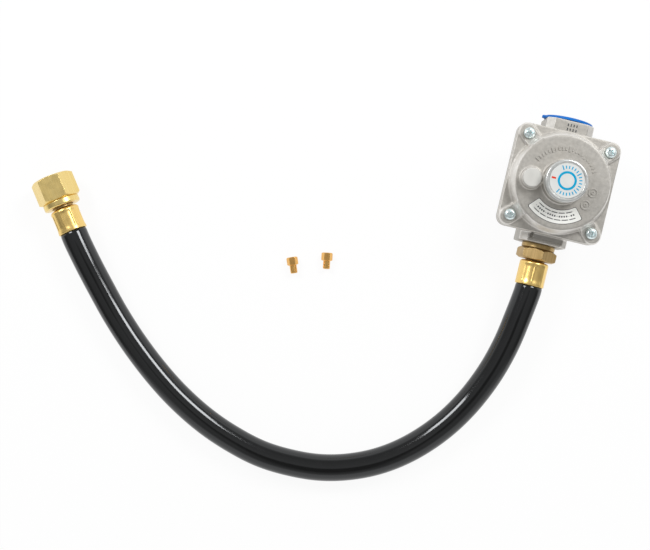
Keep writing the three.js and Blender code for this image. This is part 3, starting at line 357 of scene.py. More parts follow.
def add(tree, kind, links=None, stops=None, **settings):
    """Adds a node. Settings are its own choices, links gives its sockets values or other nodes' outputs."""
    made = tree.nodes.new(kind)
    for key, value in settings.items():
        setattr(made, key, value)
    for socket, value in (links or {}).items():
        if isinstance(value, bpy.types.Node):
            value = value.outputs[0]
        if isinstance(value, bpy.types.NodeSocket):
            tree.links.new(value, made.inputs[socket])
        else:
            made.inputs[socket].default_value = value
    for i, (at, colour) in enumerate(stops or []):
        ramp = made.color_ramp.elements
        stop = ramp[i] if i < len(ramp) else ramp.new(at)
        stop.position, stop.color = at, linear(colour)
    return made


def new_finish(name, **sockets):
    """A new material: returns it, its tree, its shader and where on the piece a point is."""
    made = bpy.data.materials.new(name)
    made.use_nodes = True
    tree = made.node_tree
    shader = tree.nodes["Principled BSDF"]
    for socket, value in sockets.items():
        shader.inputs[socket.replace("_", " ")].default_value = value
    return made, tree, shader, add(tree, "ShaderNodeTexCoord").outputs["Object"]


def wired(tree, shader, **sources):
    """Leads nodes' outputs into the shader's sockets."""
    for socket, source in sources.items():
        output = source if isinstance(source, bpy.types.NodeSocket) else source.outputs[0]
        tree.links.new(output, shader.inputs[socket.replace("_", " ")])


# ---------------------------------------------------------------- finishes

def cast_aluminium():
    """Die-cast aluminium, bead-blasted: satin and faintly mottled, with painted shade: its level and upright faces are
    painted darker and the sloping ones between them lighter. The grain is drawn 0.8 mm wide, coarser than a blasted
    one, so that it shows."""
    made, tree, shader, place = new_finish("die_cast_aluminium", Metallic=0.85)
    mottle = add(tree, "ShaderNodeTexNoise", {"Vector": place, "Scale": 1 / (2.2 * MM), "Detail": 5, "Roughness": 0.65})
    stain = add(tree, "ShaderNodeTexNoise", {"Vector": place, "Scale": 1 / (14 * MM), "Detail": 3})
    grain = add(tree, "ShaderNodeTexNoise", {"Vector": place, "Scale": 1 / (0.8 * MM), "Detail": 3, "Roughness": 0.7})
    # Painted shade: the sloping faces take the lighter colour, and the level and upright faces the darker one.
    painted_lit_slopes = add(tree, "ShaderNodeValToRGB", {0: mottle}, [(0.3, "#e2dfda"), (0.7, "#f2f0ec")])
    level = add(tree, "ShaderNodeValToRGB", {0: mottle}, [(0.3, "#a7a49e"), (0.7, "#bfbcb6")])
    normal = tree.nodes["Texture Coordinate"].outputs["Normal"]
    facing = add(tree, "ShaderNodeSeparateXYZ", {0: normal}).outputs["Z"]
    # This mask is white where a face is upright or level, which then takes the darker colour: painted shade by the way
    # a face turns.
    painted_shade_by_facing = add(tree, "ShaderNodeValToRGB", {0: facing}, [
        (0.0, "#ffffff"), (0.05, "#ffffff"), (0.17, "#000000"), (0.6, "#000000"), (0.96, "#ffffff")])
    colour = add(tree, "ShaderNodeMix", {0: painted_shade_by_facing, 6: painted_lit_slopes, 7: level}, data_type="RGBA")
    tinge = add(tree, "ShaderNodeMapRange", {0: stain, 1: 0.4, 2: 0.8, 3: 0.0, 4: 0.35})
    shaded = add(tree, "ShaderNodeMix", {0: tinge, 6: colour.outputs[2], 7: linear("#b4aea4")}, data_type="RGBA")
    rough = add(tree, "ShaderNodeMapRange", {0: mottle, 3: 0.48, 4: 0.6})
    bump = add(tree, "ShaderNodeBump", {"Height": grain, "Strength": 0.5, "Distance": 0.1 * MM})
    wired(tree, shader, Base_Color=shaded.outputs[2], Roughness=rough, Normal=bump)
    return made


def drawn_metal(name, dark, light, low, high, heading):
    """Bright drawn or turned metal: faint streaks along the bar, and patches a little duller.
    The streaks are drawn 0.7 mm wide, coarser than a tool's, so that they show."""
    made, tree, shader, place = new_finish(name, Metallic=1.0)
    bar = add(tree, "ShaderNodeMapping", {"Vector": place, "Rotation": (0, 0, math.radians(heading)),
                                          "Scale": (30 * MM, 0.7 * MM, 0.7 * MM)}, vector_type="TEXTURE")
    streaks = add(tree, "ShaderNodeTexNoise", {"Vector": bar, "Scale": 1.0, "Detail": 3, "Roughness": 0.6})
    cloud = add(tree, "ShaderNodeTexNoise", {"Vector": place, "Scale": 1 / (4 * MM), "Detail": 3})
    colour = add(tree, "ShaderNodeValToRGB", {0: streaks}, [(0.3, dark), (0.7, light)])
    rough = add(tree, "ShaderNodeMapRange", {0: cloud, 1: 0.3, 2: 0.7, 3: high, 4: low})
    bump = add(tree, "ShaderNodeBump", {"Height": streaks, "Strength": 0.05, "Distance": 0.02 * MM})
    wired(tree, shader, Base_Color=colour, Roughness=rough, Normal=bump)
    return made


def moulded(name, colour, darker, roughness, grit, gloss=0.5):
    """Moulded plastic, rubber, film or ink: one colour with a slight drift, and a fine skin.
    The skin's grit is drawn coarse enough to show, in millimetres."""
    made, tree, shader, place = new_finish(name, Specular_IOR_Level=gloss)
    drift = add(tree, "ShaderNodeTexNoise", {"Vector": place, "Scale": 1 / (6 * MM), "Detail": 2})
    skin = add(tree, "ShaderNodeTexNoise", {"Vector": place, "Scale": 1 / (grit * MM), "Detail": 2})
    tint = add(tree, "ShaderNodeValToRGB", {0: drift}, [(0.35, darker), (0.65, colour)])
    rough = add(tree, "ShaderNodeMapRange", {0: drift, 3: roughness - 0.05, 4: roughness + 0.07})
    bump = add(tree, "ShaderNodeBump", {"Height": skin, "Strength": 0.15, "Distance": 0.05 * MM})
    wired(tree, shader, Base_Color=tint, Roughness=rough, Normal=bump)
    return made


def hose_rubber():
    """Extruded synthetic rubber: near black with a waxy gloss, and slanting marks like a cure wrap's.
    The marks are drawn 0.8 mm wide so that they show."""
    made, tree, shader, _ = new_finish("extruded_hose_rubber", IOR=1.5, Specular_IOR_Level=0.7,
                                        Specular_Tint=linear("#f2f5f8"))
    wrap = add(tree, "ShaderNodeUVMap", uv_map="wrap")
    slant = add(tree, "ShaderNodeMapping", {"Vector": wrap, "Rotation": (0, 0, math.radians(28)),
                                            "Scale": (0.8 * MM, 7 * MM, 1)}, vector_type="TEXTURE")
    marks = add(tree, "ShaderNodeTexNoise", {"Vector": slant, "Scale": 1, "Detail": 3, "Roughness": 0.6})
    dust = add(tree, "ShaderNodeTexNoise", {"Vector": wrap, "Scale": 1 / (9 * MM), "Detail": 4})
    tint = add(tree, "ShaderNodeValToRGB", {0: marks}, [(0.3, "#060606"), (0.75, "#0e0e0e")])
    rough = add(tree, "ShaderNodeMapRange", {0: dust, 1: 0.3, 2: 0.7, 3: 0.075, 4: 0.14})
    bump = add(tree, "ShaderNodeBump", {"Height": marks, "Strength": 0.1, "Distance": 0.05 * MM})
    wired(tree, shader, Base_Color=tint, Roughness=rough, Normal=bump)
    return made


CAST = cast_aluminium()
# Machined brass: clean, pale yellow and bright.
BRASS = drawn_metal("machined_brass", "#eccf84", "#f5dc95", 0.24, 0.32, 90)
# Dull brass: browner and less shiny. On the outlet fitting it is the fitting's own tarnished tone; on the far insert it
# is painted shade in the gap between the nut's neck and the ferrule.
DULL_BRASS_AND_PAINTED_SHADE = drawn_metal("dull_brass_and_painted_shade", "#a68a5a", "#c4a876", 0.3, 0.42, 90)
FAR_BRASS = drawn_metal("machined_brass_of_the_far_end", "#eccf84", "#f5dc95", 0.24, 0.32, FAR_HEADING)
# Pressed brass: a little more golden than the machined.
FERRULE_BRASS = drawn_metal("bright_pressed_brass", "#f0cb7c", "#f9d98a", 0.26, 0.34, 90)
FAR_FERRULE_BRASS = drawn_metal("bright_pressed_brass_of_the_far_end", "#f0cb7c", "#f9d98a", 0.26, 0.34, FAR_HEADING)
# Bright-dipped brass: a reddish gold.
ORIFICE_BRASS = drawn_metal("bright_dipped_brass", "#e6ad5e", "#f5c478", 0.22, 0.32, 90)
# Zinc plate: bright, cold and faintly blue beside the castings.
ZINC_STEEL = drawn_metal("bright_zinc_plate", "#dfeff0", "#eff9fa", 0.24, 0.36, 0)
# Spring steel: a darker grey.
SPRING_STEEL = drawn_metal("drawn_spring_steel", "#75787c", "#9da1a6", 0.28, 0.4, 0)
# Turned aluminium: more neutral and smoother than the castings.
CAP_METAL = drawn_metal("turned_aluminium", "#cfd1cf", "#dddedc", 0.3, 0.38, 0)
# Satin film: a pale, even face for the printed dial.
CAP_FACE = moulded("satin_label_film", "#dcdedc", "#d6d8d6", 0.34, 0.5)
# Pale plastic: off-white with a dull sheen.
WHITE_PLASTIC = moulded("moulded_pale_plastic", "#d0cfca", "#c9c8c3", 0.42, 0.5)
# Polythene: a strong blue with a soft surface.
BLUE_PLASTIC = moulded("moulded_blue_polythene", "#0072cc", "#0068be", 0.45, 0.7, 0.3)
# Nitrile rubber: dark and nearly without gloss.
BLACK_RUBBER = moulded("moulded_nitrile_rubber", "#232324", "#1a1a1b", 0.6, 0.4)
# Printing inks: flat colours.
PRINTED_WHITE = moulded("printed_white_ink", "#f3f3ee", "#edede8", 0.5, 0.4)
PRINTED_CYAN = moulded("printed_cyan_ink", "#00a6d2", "#009cc8", 0.5, 0.4, 0.15)
PRINTED_RED = moulded("printed_red_ink", "#e84a32", "#dc3f29", 0.5, 0.4, 0.15)
PRINTED_GREY = moulded("printed_grey_ink", "#45474a", "#3a3c3f", 0.5, 0.4)
HOSE_FINISH = hose_rubber()


# ---------------------------------------------------------------- camera and hose

def photo_camera():
    """The camera that looks down on the part as the photograph does."""
    data = bpy.data.cameras.new("photo_camera")
    data.sensor_width = SENSOR
    data.lens = FOCAL_PIXELS * SENSOR / IMAGE_WIDTH
    data.clip_start, data.clip_end = 0.01, 20
    camera = bpy.data.objects.new("photo_camera", data)
    camera.location = Vector(CAMERA_PLACE) * MM
    camera.rotation_euler = (0, 0, math.radians(CAMERA_TURN))
    bpy.context.scene.collection.objects.link(camera)
    bpy.context.scene.camera = camera


def smooth_route(points, step):
    """A centripetal Catmull-Rom curve through points, as points about one step apart."""
    ends = [2 * points[0] - points[1], *points, 2 * points[-1] - points[-2]]
    line = [points[0]]
    for p0, p1, p2, p3 in zip(ends, ends[1:], ends[2:], ends[3:]):
        d0, d1, d2 = (math.sqrt((b - a).length) for a, b in ((p0, p1), (p1, p2), (p2, p3)))
        leave = d1 * ((p1 - p0) / d0 - (p2 - p0) / (d0 + d1) + (p2 - p1) / d1)
        arrive = d1 * ((p2 - p1) / d1 - (p3 - p1) / (d1 + d2) + (p3 - p2) / d2)
        count = max(1, round((p2 - p1).length / step))
        for k in range(1, count + 1):
            t = k / count
            line.append((2 * t**3 - 3 * t**2 + 1) * p1 + (t**3 - 2 * t**2 + t) * leave
                        + (3 * t**2 - 2 * t**3) * p2 + (t**3 - t**2) * arrive)
    return line


def hose():
    """The hose from end to end, with the tails that run on into the two ferrules."""
    near = Vector((0, -OUTLET_REACH - OUTLET_MOUTH, PORT_HEIGHT))
    near_out = Vector((0, -1, 0))
    heading = math.radians(FAR_HEADING)
    far_out = Vector((-math.cos(heading), -math.sin(heading), 0))
    route = [near + near_out * FIT_GAP, near + near_out * HOSE_LEAD[0]]
    route += [Vector((x, y, HOSE_RADIUS + HOSE_LIFT + rise)) for x, y, rise in HOSE_ROUTE]
    route += [FAR_MOUTH + far_out * HOSE_LEAD[1], FAR_MOUTH + far_out * FIT_GAP]
    free = smooth_route(route, 1.5)
    tail = [HOSE_TAIL, 10, 7.5, 5, 2.5, 0.2]
    path = [near - near_out * t for t in tail] + free + [FAR_MOUTH - far_out * t for t in reversed(tail)]
    sides = 56
    outer, inner, lengths, run = [], [], [], 0
    for i, point in enumerate(path):
        before, after = path[max(i - 1, 0)], path[min(i + 1, len(path) - 1)]
        side = (after - before).cross(Vector((0, 0, 1))).normalized()
        up = side.cross(after - before).normalized()
        run += (point - before).length
        lengths.append(run)
        # The ferrules squeeze the hose, and it swells to its full size right at their mouths.
        inside = min(i - len(tail), len(path) - 1 - len(tail) - i)
        swell = 1 if inside > 0 else 0.75 if inside == 0 else 0
        radius = HOSE_TAIL_RADIUS + (HOSE_RADIUS - HOSE_TAIL_RADIUS) * swell
        bore = HOSE_TAIL_BORE + (HOSE_BORE_RADIUS - HOSE_TAIL_BORE) * swell
        for ring, size in ((outer, radius), (inner, bore)):
            ring.append([point + size * (math.cos(a) * side + math.sin(a) * up)
                         for a in (2 * math.pi * k / sides for k in range(sides))])
    made = loft("gas_hose", outer + inner[::-1], loop=True, lengths=lengths + lengths[::-1],
                girth=2 * math.pi * HOSE_RADIUS)
    dressed(made, HOSE_FINISH, "root", ["hose"], sharp=SOFT_SHAPE)
    return made, path, run


photo_camera()
hose_piece, hose_path, hose_length = hose()


# ---------------------------------------------------------------- castings

def rounded_square(side, corner):
    """The outline of a rounded square as a function of how far it is drawn in."""
    def outline(inset):
        half, bend = side / 2 - inset, max(corner - inset, 0.3)
        return rounded([(half, half, bend), (-half, half, bend), (-half, -half, bend), (half, -half, bend)], 9)
    return outline


def chamfered_port(inset):
    half, tall = PORT_WIDTH / 2 - inset, PORT_HEIGHT - inset
    cut = PORT_CHAMFER - 0.59 * inset
    return [(half - cut, -tall), (half, cut - tall), (half, tall - cut), (half - cut, tall),
            (cut - half, tall), (-half, tall - cut), (-half, cut - tall), (cut - half, -tall)]


def rod(radius, bottom, top, place=Matrix(), sides=64):
    return turned("rod", [(0, bottom), (radius, bottom), (radius, top), (0, top)], sides, place)


def at_screws(make):
    return [make(Matrix.Translation((x * SCREW_OFFSET, y * SCREW_OFFSET, 0)) @ Matrix.Rotation(turn, 4, "Z"))
            for x, y, turn in ((1, 1, math.pi / 4), (-1, 1, 3 * math.pi / 4), (-1, -1, -3 * math.pi / 4),
                               (1, -1, -math.pi / 4))]


def cast(piece, rounding=1):
    """Gives a casting its small radii everywhere: an even skin, relaxed a little and thinned where it is flat."""
    return applied(
        piece,
        ("REMESH", {"mode": "VOXEL", "voxel_size": CAST_GRAIN * MM, "adaptivity": 0}),
        ("SMOOTH", {"factor": 0.5, "iterations": rounding}),
        ("DECIMATE", {"ratio": 0.6}),
    )


def regulator_body():
    """The lower casting: a square flange over a bowl, with a port on each side."""
    bottom = JOINT_FACE - BODY_FLANGE
    body = slab("regulator_casting", rounded_square(FLANGE_SIDE, FLANGE_CORNER), edged(bottom, JOINT_FACE, EDGE))
    bowl = turned("bowl", [
        (0, 0), (FOOT_RADIUS, 0, 0.6), (FOOT_RADIUS, 1.5, 0.6), (BOWL_BASE_RADIUS, 1.5, 3),
        (BOWL_TOP_RADIUS, bottom, 1.2), (BOWL_TOP_RADIUS + 2, bottom + 1), (BOWL_TOP_RADIUS, JOINT_FACE - 1),
        (0, JOINT_FACE - 1),
    ])
    lie = Matrix.Translation((0, 0, PORT_HEIGHT)) @ Matrix.Rotation(math.pi / 2, 4, "X")
    ports = slab("ports", chamfered_port, edged(-INLET_REACH, OUTLET_REACH, EDGE), lie)
    rim = PORT_POCKET_RIM + PORT_CHAMFER - PORT_WIDTH / 2
    start, end, top = PORT_COLLAR - OUTLET_REACH, -FLANGE_SIDE / 2 + 1, 2 * PORT_HEIGHT
    pocket = block("pocket", (rim, start, top - PORT_POCKET_DEPTH), (PORT_WIDTH / 2 + 1, end, top + 1))
    groove = block("groove", (rim, start + 1, top - 3), (rim + 2, end, top + 1))
    combined(ports, "DIFFERENCE", pocket, groove)
    combined(body, "UNION", bowl, ports)
    chamber = rod(CHAMBER_RADIUS, JOINT_FACE - CHAMBER_DEPTH, JOINT_FACE + 1)
    to_inlet = lie @ Matrix.Rotation(math.pi, 4, "X")
    inlet = rod(PORT_BORE_RADIUS, PORT_BORE_END, INLET_REACH + 1, to_inlet)
    outlet = rod(PORT_BORE_RADIUS, PORT_BORE_END, OUTLET_REACH + 1, lie)
    wide, long, floor = VALVE_ROOM
    valve = block("valve", (-wide, -long, floor), (wide, long, JOINT_FACE - 1))
    passage = rod(OUTLET_PASSAGE_RADIUS, VALVE_ROOM_WALL, OUTLET_REACH - 2, lie)
    seat = rod(INLET_PASSAGE_RADIUS, VALVE_ROOM_WALL, INLET_REACH - 2, to_inlet)
    holes = at_screws(lambda place: rod(SCREW_SHANK_RADIUS + FIT_GAP, bottom - 1, JOINT_FACE + 1, place, 32))
    combined(body, "DIFFERENCE", chamber, inlet, outlet, valve, passage, seat, *holes)
    dressed(cast(body), CAST, "root", ["regulator_body"], sharp=SOFT_SHAPE)


def screw_pad(place):
    """The raised land under a screw, running out from the drum along the flange's diagonal."""
    def outline(inset):
        half = PAD_WIDTH / 2 - inset
        back = DRUM_BASE_RADIUS - SCREW_OFFSET * math.sqrt(2) - 4
        bend = FLANGE_CORNER - 0.6 - inset
        middle = (FLANGE_SIDE / 2 - FLANGE_CORNER - SCREW_OFFSET) * math.sqrt(2)
        reach = math.asin(min(1, half / bend))
        bow = [(middle + bend * math.cos(a), bend * math.sin(a)) for a in (reach * k / 8 for k in range(-8, 9))]
        return [(back, -half), *bow, (back, half)]
    heights = [(FLANGE_TOP - 1, -0.4), (FLANGE_TOP, -0.4), (FLANGE_TOP + 0.3, -0.05),
               (PAD_TOP - 0.25, 0.1), (PAD_TOP, 0.5)]
    return slab("pad", outline, heights, place)


def screw_gusset(place):
    """The metal that fills the corner between a screw's land and the drum."""
    near, far = (reach - SCREW_OFFSET * math.sqrt(2) for reach in (DRUM_TOP_RADIUS - 3, DRUM_BASE_RADIUS + 3))
    half = PAD_WIDTH / 2 - 0.4
    ring = [(near, PAD_TOP - 1), (far, PAD_TOP - 1), (far, PAD_TOP), (far - 2.4, PAD_TOP + 1.2),
            (far - 3.8, PAD_TOP + 3.4), (far - 4.4, DRUM_TOP - 0.6), (near, DRUM_TOP - 0.6)]
    return loft("gusset", [[(x, y, z) for x, z in ring] for y in (-half, half)], place=place)


def regulator_cover():
    """The upper casting: a flange with screw lands, the drum, the spring's tower and the vent."""
    cover = slab("regulator_cover_casting", rounded_square(FLANGE_SIDE, FLANGE_CORNER),
                 edged(COVER_BASE, FLANGE_TOP, EDGE))
    drum = turned("drum", [
        (0, FLANGE_TOP - 1), (DRUM_BASE_RADIUS + 0.7, FLANGE_TOP - 1), (DRUM_BASE_RADIUS + 0.7, FLANGE_TOP),
        (DRUM_BASE_RADIUS, FLANGE_TOP + 0.5, 0.6), (DRUM_TOP_RADIUS, DRUM_TOP, 0.8),
        (TOWER_BASE_RADIUS, DRUM_TOP, 0.9), (TOWER_TOP_RADIUS, TOWER_TOP, 0.4), (0, TOWER_TOP),
    ], 128)
    foot, lip = VENT_RADII
    vent = turned("vent", [
        (0, DRUM_TOP - 1), (foot, DRUM_TOP - 1), (foot, DRUM_TOP), (lip, VENT_TOP, 0.3), (0, VENT_TOP),
    ], 64, AT_VENT)
    combined(cover, "UNION", drum, vent, *at_screws(screw_pad), *at_screws(screw_gusset))
    roof = DRUM_TOP - COVER_WALL
    cavity = turned("cavity", [
        (0, COVER_BASE - 1), (CHAMBER_RADIUS, COVER_BASE - 1), (CHAMBER_RADIUS, roof, 1.5),
        (TOWER_BORE_RADIUS, roof), (TOWER_BORE_RADIUS, TOWER_TOP + 1), (0, TOWER_TOP + 1),
    ])
    vent_bore = rod(VENT_BORE_RADIUS, VENT_TOP - VENT_BORE_DEPTH, VENT_TOP + 1, AT_VENT)
    duct = rod(VENT_DUCT_RADIUS, roof - 1, VENT_TOP, AT_VENT)
    holes = at_screws(lambda place: rod(SCREW_SHANK_RADIUS + FIT_GAP, COVER_BASE - 1, PAD_TOP + 1, place, 32))
    rooms = at_screws(lambda place: rod(SCREW_HEAD_RADIUS + 0.4, PAD_TOP, TOWER_TOP, place, 48))
    combined(cover, "DIFFERENCE", cavity, vent_bore, duct, *holes, *rooms)
    dressed(cast(cover), CAST, "root", ["regulator_cover"], sharp=SOFT_SHAPE)


# ---------------------------------------------------------------- screws, caps and plug

def screw_blank():
    """One pan-head screw with its cross recess, standing on the origin under its head."""
    head, top = SCREW_HEAD_RADIUS, SCREW_HEAD_HEIGHT
    screw = turned("cover_screws", [
        (0, -SCREW_LENGTH), (SCREW_SHANK_RADIUS, -SCREW_LENGTH, 0.4), (SCREW_SHANK_RADIUS, 0), (head, 0, 0.2),
        (head, top - 0.8, 0.6), (head - 1.0, top, 1.2), (0, top),
    ], 48)
    reach, wide, deep = 1.8, 0.42, 1.8
    def arm_outline(inset):
        return [(x * (reach - inset), y * (wide - 0.15 * inset)) for x, y in ((1, 1), (-1, 1), (-1, -1), (1, -1))]
    arms = [slab("arm", arm_outline, [(top - deep, 0.5), (top + 0.5, -0.1)], Matrix.Rotation(turn, 4, "Z"))
            for turn in (0, math.pi / 2)]
    return combined(screw, "DIFFERENCE", *arms)


def new_tree(name, **inputs):
    """A Geometry Nodes tree with a mesh going in and out, and a named input for each size."""
    tree = bpy.data.node_groups.new(name, "GeometryNodeTree")
    tree.interface.new_socket("Geometry", in_out="INPUT", socket_type="NodeSocketGeometry")
    tree.interface.new_socket("Geometry", in_out="OUTPUT", socket_type="NodeSocketGeometry")
    for label, kind in inputs.items():
        tree.interface.new_socket(label.replace("_", " "), in_out="INPUT", socket_type="NodeSocket" + kind)
    return tree, add(tree, "NodeGroupInput").outputs, add(tree, "NodeGroupOutput").inputs


def finished_tree(tree, result, copies, finish):
    """Ends a tree: its copies made real and painted."""
    real = add(tree, "GeometryNodeRealizeInstances", {"Geometry": copies})
    painted = add(tree, "GeometryNodeSetMaterial", {"Geometry": real, "Material": finish})
    tree.links.new(painted.outputs[0], result["Geometry"])
    return tree


def grown(piece, tree, **sizes):
    """Runs a tree on a piece with its inputs set, and keeps the result as a plain mesh."""
    modifier = piece.modifiers.new(tree.name, "NODES")
    modifier.node_group = tree
    sockets = {s.name: s.identifier for s in tree.interface.items_tree if s.in_out == "INPUT"}
    for label, value in sizes.items():
        modifier[sockets[label.replace("_", " ")]] = value
    return applied(piece)


def four_corner_tree():
    """Sets a copy of the incoming piece on each corner of a square, each at its own turn."""
    tree, given, result = new_tree("at_four_corners", Side="Float", Height="Float", Finish="Material", Seed="Int")
    corners = add(tree, "GeometryNodeMeshGrid", {"Size X": given["Side"], "Size Y": given["Side"],
                                                 "Vertices X": 2, "Vertices Y": 2})
    lift = add(tree, "ShaderNodeCombineXYZ", {"Z": given["Height"]})
    places = add(tree, "GeometryNodeSetPosition", {"Geometry": corners, "Offset": lift})
    turn = add(tree, "FunctionNodeRandomValue", {"Seed": given["Seed"]}, data_type="FLOAT_VECTOR")
    turn.inputs["Max"].default_value = (0, 0, math.pi / 2)
    copies = add(tree, "GeometryNodeInstanceOnPoints", {"Points": places, "Instance": given["Geometry"],
                                                        "Rotation": turn})
    return finished_tree(tree, result, copies, given["Finish"])


def cover_screws():
    """The four screws that hold the cover down."""
    screws = grown(screw_blank(), four_corner_tree(), Side=2 * SCREW_OFFSET * MM,
                   Height=(SCREW_TOP - SCREW_HEAD_HEIGHT) * MM, Finish=ZINC_STEEL, Seed=5)
    dressed(screws, ZINC_STEEL, "root", [f"cover_screw_{i}" for i in (1, 2, 3, 4)], sharp=35)


def seal_cap():
    """The cap on the tower, the film on its face and the gasket under it."""
    gasket_top = TOWER_TOP + GASKET_THICKNESS
    spigot, wall, depth = CAP_SPIGOT
    cap = turned("seal_cap_turning", [
        (0, gasket_top - 1), (spigot - wall, gasket_top - 1, 0.5), (spigot - wall, gasket_top - depth, 0.3),
        (spigot, gasket_top - depth, 0.5), (spigot, gasket_top), (CAP_RADIUS, gasket_top, 0.3),
        (CAP_RADIUS, CAP_TOP - 0.15, 0.8), (CAP_FACE_RADIUS + 0.5, CAP_TOP - 0.15, 0.2),
        (CAP_FACE_RADIUS + 0.2, CAP_TOP - 0.4), (0, CAP_TOP - 0.4),
    ], 128)
    dressed(cap, CAP_METAL, "cap", ["seal_cap"])
    face = turned("cap_face_film", [(0, CAP_TOP - 0.5), (CAP_FACE_RADIUS, CAP_TOP - 0.5),
                                    (CAP_FACE_RADIUS, CAP_FACE_TOP, 0.05), (0, CAP_FACE_TOP)])
    dressed(face, CAP_FACE, "cap")
    gasket = turned("cap_gasket_ring", [
        (TOWER_BORE_RADIUS, TOWER_TOP, 0.2), (CAP_RADIUS - 0.4, TOWER_TOP, 0.3),
        (CAP_RADIUS - 0.4, gasket_top, 0.3), (TOWER_BORE_RADIUS, gasket_top, 0.2),
    ])
    dressed(gasket, BLACK_RUBBER, "cap_gasket", ["seal_cap_gasket"])


def vent_cap():
    """The small cap in the vent, open at two sides."""
    cap = turned("vent_cap_moulding", [
        (0, VENT_TOP - 1), (2.8, VENT_TOP - 1), (2.8, VENT_TOP - 2.6), (4.1, VENT_TOP - 2.6, 0.3), (4.1, VENT_TOP),
        (VENT_CAP_RADIUS, VENT_TOP, 0.15), (VENT_CAP_RADIUS, VENT_CAP_TOP, 0.45), (0, VENT_CAP_TOP),
    ], 64, AT_VENT)
    reach = VENT_CAP_RADIUS + 1
    side_way = block("side_way", (-reach, -0.8, VENT_TOP - 3), (reach, 0.8, VENT_TOP + 0.5), AT_VENT)
    combined(cap, "DIFFERENCE", side_way)
    dressed(cap, WHITE_PLASTIC, "root", ["vent_cap"])


def dust_plug():
    """The hollow push-in plug of the inlet, with a tab to pull it by."""
    radius, thick, depth, wall = PORT_THREAD_RADIUS, PLUG_THICKNESS, PLUG_DEPTH, PLUG_WALL
    face = along(0, PLUG_FACE - thick, PORT_HEIGHT, 90)
    under, inside = PLUG_RECESS - depth, radius - wall - 0.3
    plug = turned("inlet_plug_moulding", [
        (0, under + wall), (inside, under + wall, 0.5), (inside, thick, 0.3),
        (PLUG_RADIUS, thick, 0.35), (PLUG_RADIUS, 0, 0.35), (radius, 0, 0.3), (radius, -depth, 0.6),
        (radius - wall, -depth, 0.2), (radius - wall, under), (0, under),
    ], 96, face)
    reach, wide = PLUG_TAB
    def tab_outline(inset):
        half, tip = wide - inset, PLUG_RADIUS + reach - inset
        return rounded([(PLUG_RADIUS - 1, -half), (tip, -half, 1.2), (tip, half, 1.2), (PLUG_RADIUS - 1, half)])
    combined(plug, "UNION", slab("tab", tab_outline, edged(0, thick, 0.3), face))
    dressed(plug, BLUE_PLASTIC, "dust_plug", ["inlet_dust_plug"])


def diaphragm_sheet():
    """The clamped rubber sheet: a rounded square outside, with one rolled corrugation that lets its middle rise."""
    outline = rounded_square(FLANGE_SIDE - 1, FLANGE_CORNER)(0)
    angles = [math.atan2(y, x) for x, y in outline]
    def ring(radius, z):
        return [(radius * math.cos(a), radius * math.sin(a), z) for a in angles]
    low = [(2.3, -1), (17, -1), (18.3, 0.6), (19.6, 1.45), (20.9, 1), (22.2, 0), (23, 0)]
    under = [ring(r, JOINT_FACE + z) for r, z in low] + [[(x, y, JOINT_FACE + 0.05) for x, y in outline]]
    top = COVER_BASE - 0.1
    over = [[(x, y, COVER_BASE - 0.05) for x, y in outline]] + [ring(r, top + z) for r, z in reversed(low)]
    sheet = loft("diaphragm_moulding", under + over, loop=True)
    dressed(sheet, BLACK_RUBBER, None, ["diaphragm"])
    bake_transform(sheet)


def spring_half(name, low, high, turns, first, nodes):
    """Half of the regulating spring, wound from one height to another."""
    rings, sides = [], 12
    steps = round(turns * 20)
    for i in range(steps + 1):
        share = i / steps
        angle = first + 2 * math.pi * turns * share
        out = Vector((math.cos(angle), math.sin(angle), 0))
        centre = SPRING_RADIUS * out + Vector((0, 0, low + (high - low) * share))
        rings.append([centre + SPRING_WIRE_RADIUS * (math.cos(a) * out + math.sin(a) * Vector((0, 0, 1)))
                      for a in (2 * math.pi * k / sides for k in range(sides))])
    half = dressed(loft(name, rings), SPRING_STEEL, "root", nodes, sharp=SOFT_SHAPE)
    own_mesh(half)


def regulating_spring():
    """The spring in two halves, from its foot at the diaphragm to its middle and on to its head under the screw; both
    halves stand on the root body.
    """
    low, high = (corner.z for corner in span("regulating_spring"))
    low, high = low + SPRING_WIRE_RADIUS, high - SPRING_WIRE_RADIUS
    middle, turns = (low + high) / 2, SPRING_TURNS / 2
    spring_half("spring_foot_half", low, middle, turns, 0, ["regulating_spring"])
    spring_half("spring_head_half", middle, high, turns, 2 * math.pi * turns, ())


# ---------------------------------------------------------------- fittings

def hexagon(flats, corner=0.12):
    """The outline of a hexagon bar with its corners slightly broken, a corner on +X."""
    reach = flats / 2 / math.cos(math.pi / 6)
    sharp = [(reach * math.cos(math.radians(60 * k)), reach * math.sin(math.radians(60 * k)), corner) for k in range(6)]
    bent, points = rounded(sharp, 20), []
    for i, point in enumerate(bent):
        points.append(point)
        gap = bent[(i + 1) % len(bent)] - point
        count = int(gap.length / (flats / 14))
        points += [point + gap * k / (count + 1) for k in range(1, count + 1)]
    return points


def hexagon_bar(outline, flats, start, end, roll=0):
    """Rings of a hexagon bar whose corners are turned off at both ends, from start to end."""
    turn = Matrix.Rotation(math.radians(roll), 4, "Z")
    face = flats / 2 - 0.35
    def ring(height, inward, limit=None):
        points = []
        for x, y in outline:
            reach = math.hypot(x, y)
            size = min(reach, limit) if limit else reach
            drop = max(0, reach - face) * math.tan(math.radians(30)) if inward else 0
            points.append(turn @ Vector((x * size / reach, y * size / reach, height + inward * drop)))
        return points
    return [ring(start, 0, face), ring(start, 1), ring(end, -1), ring(end, 0, face)]


def ring_at(outline, radius, height, roll=0):
    """A round ring whose points stand at the same angles as an outline's."""
    angles = [math.atan2(y, x) + math.radians(roll) for x, y in outline]
    return [(radius * math.cos(a), radius * math.sin(a), height) for a in angles]


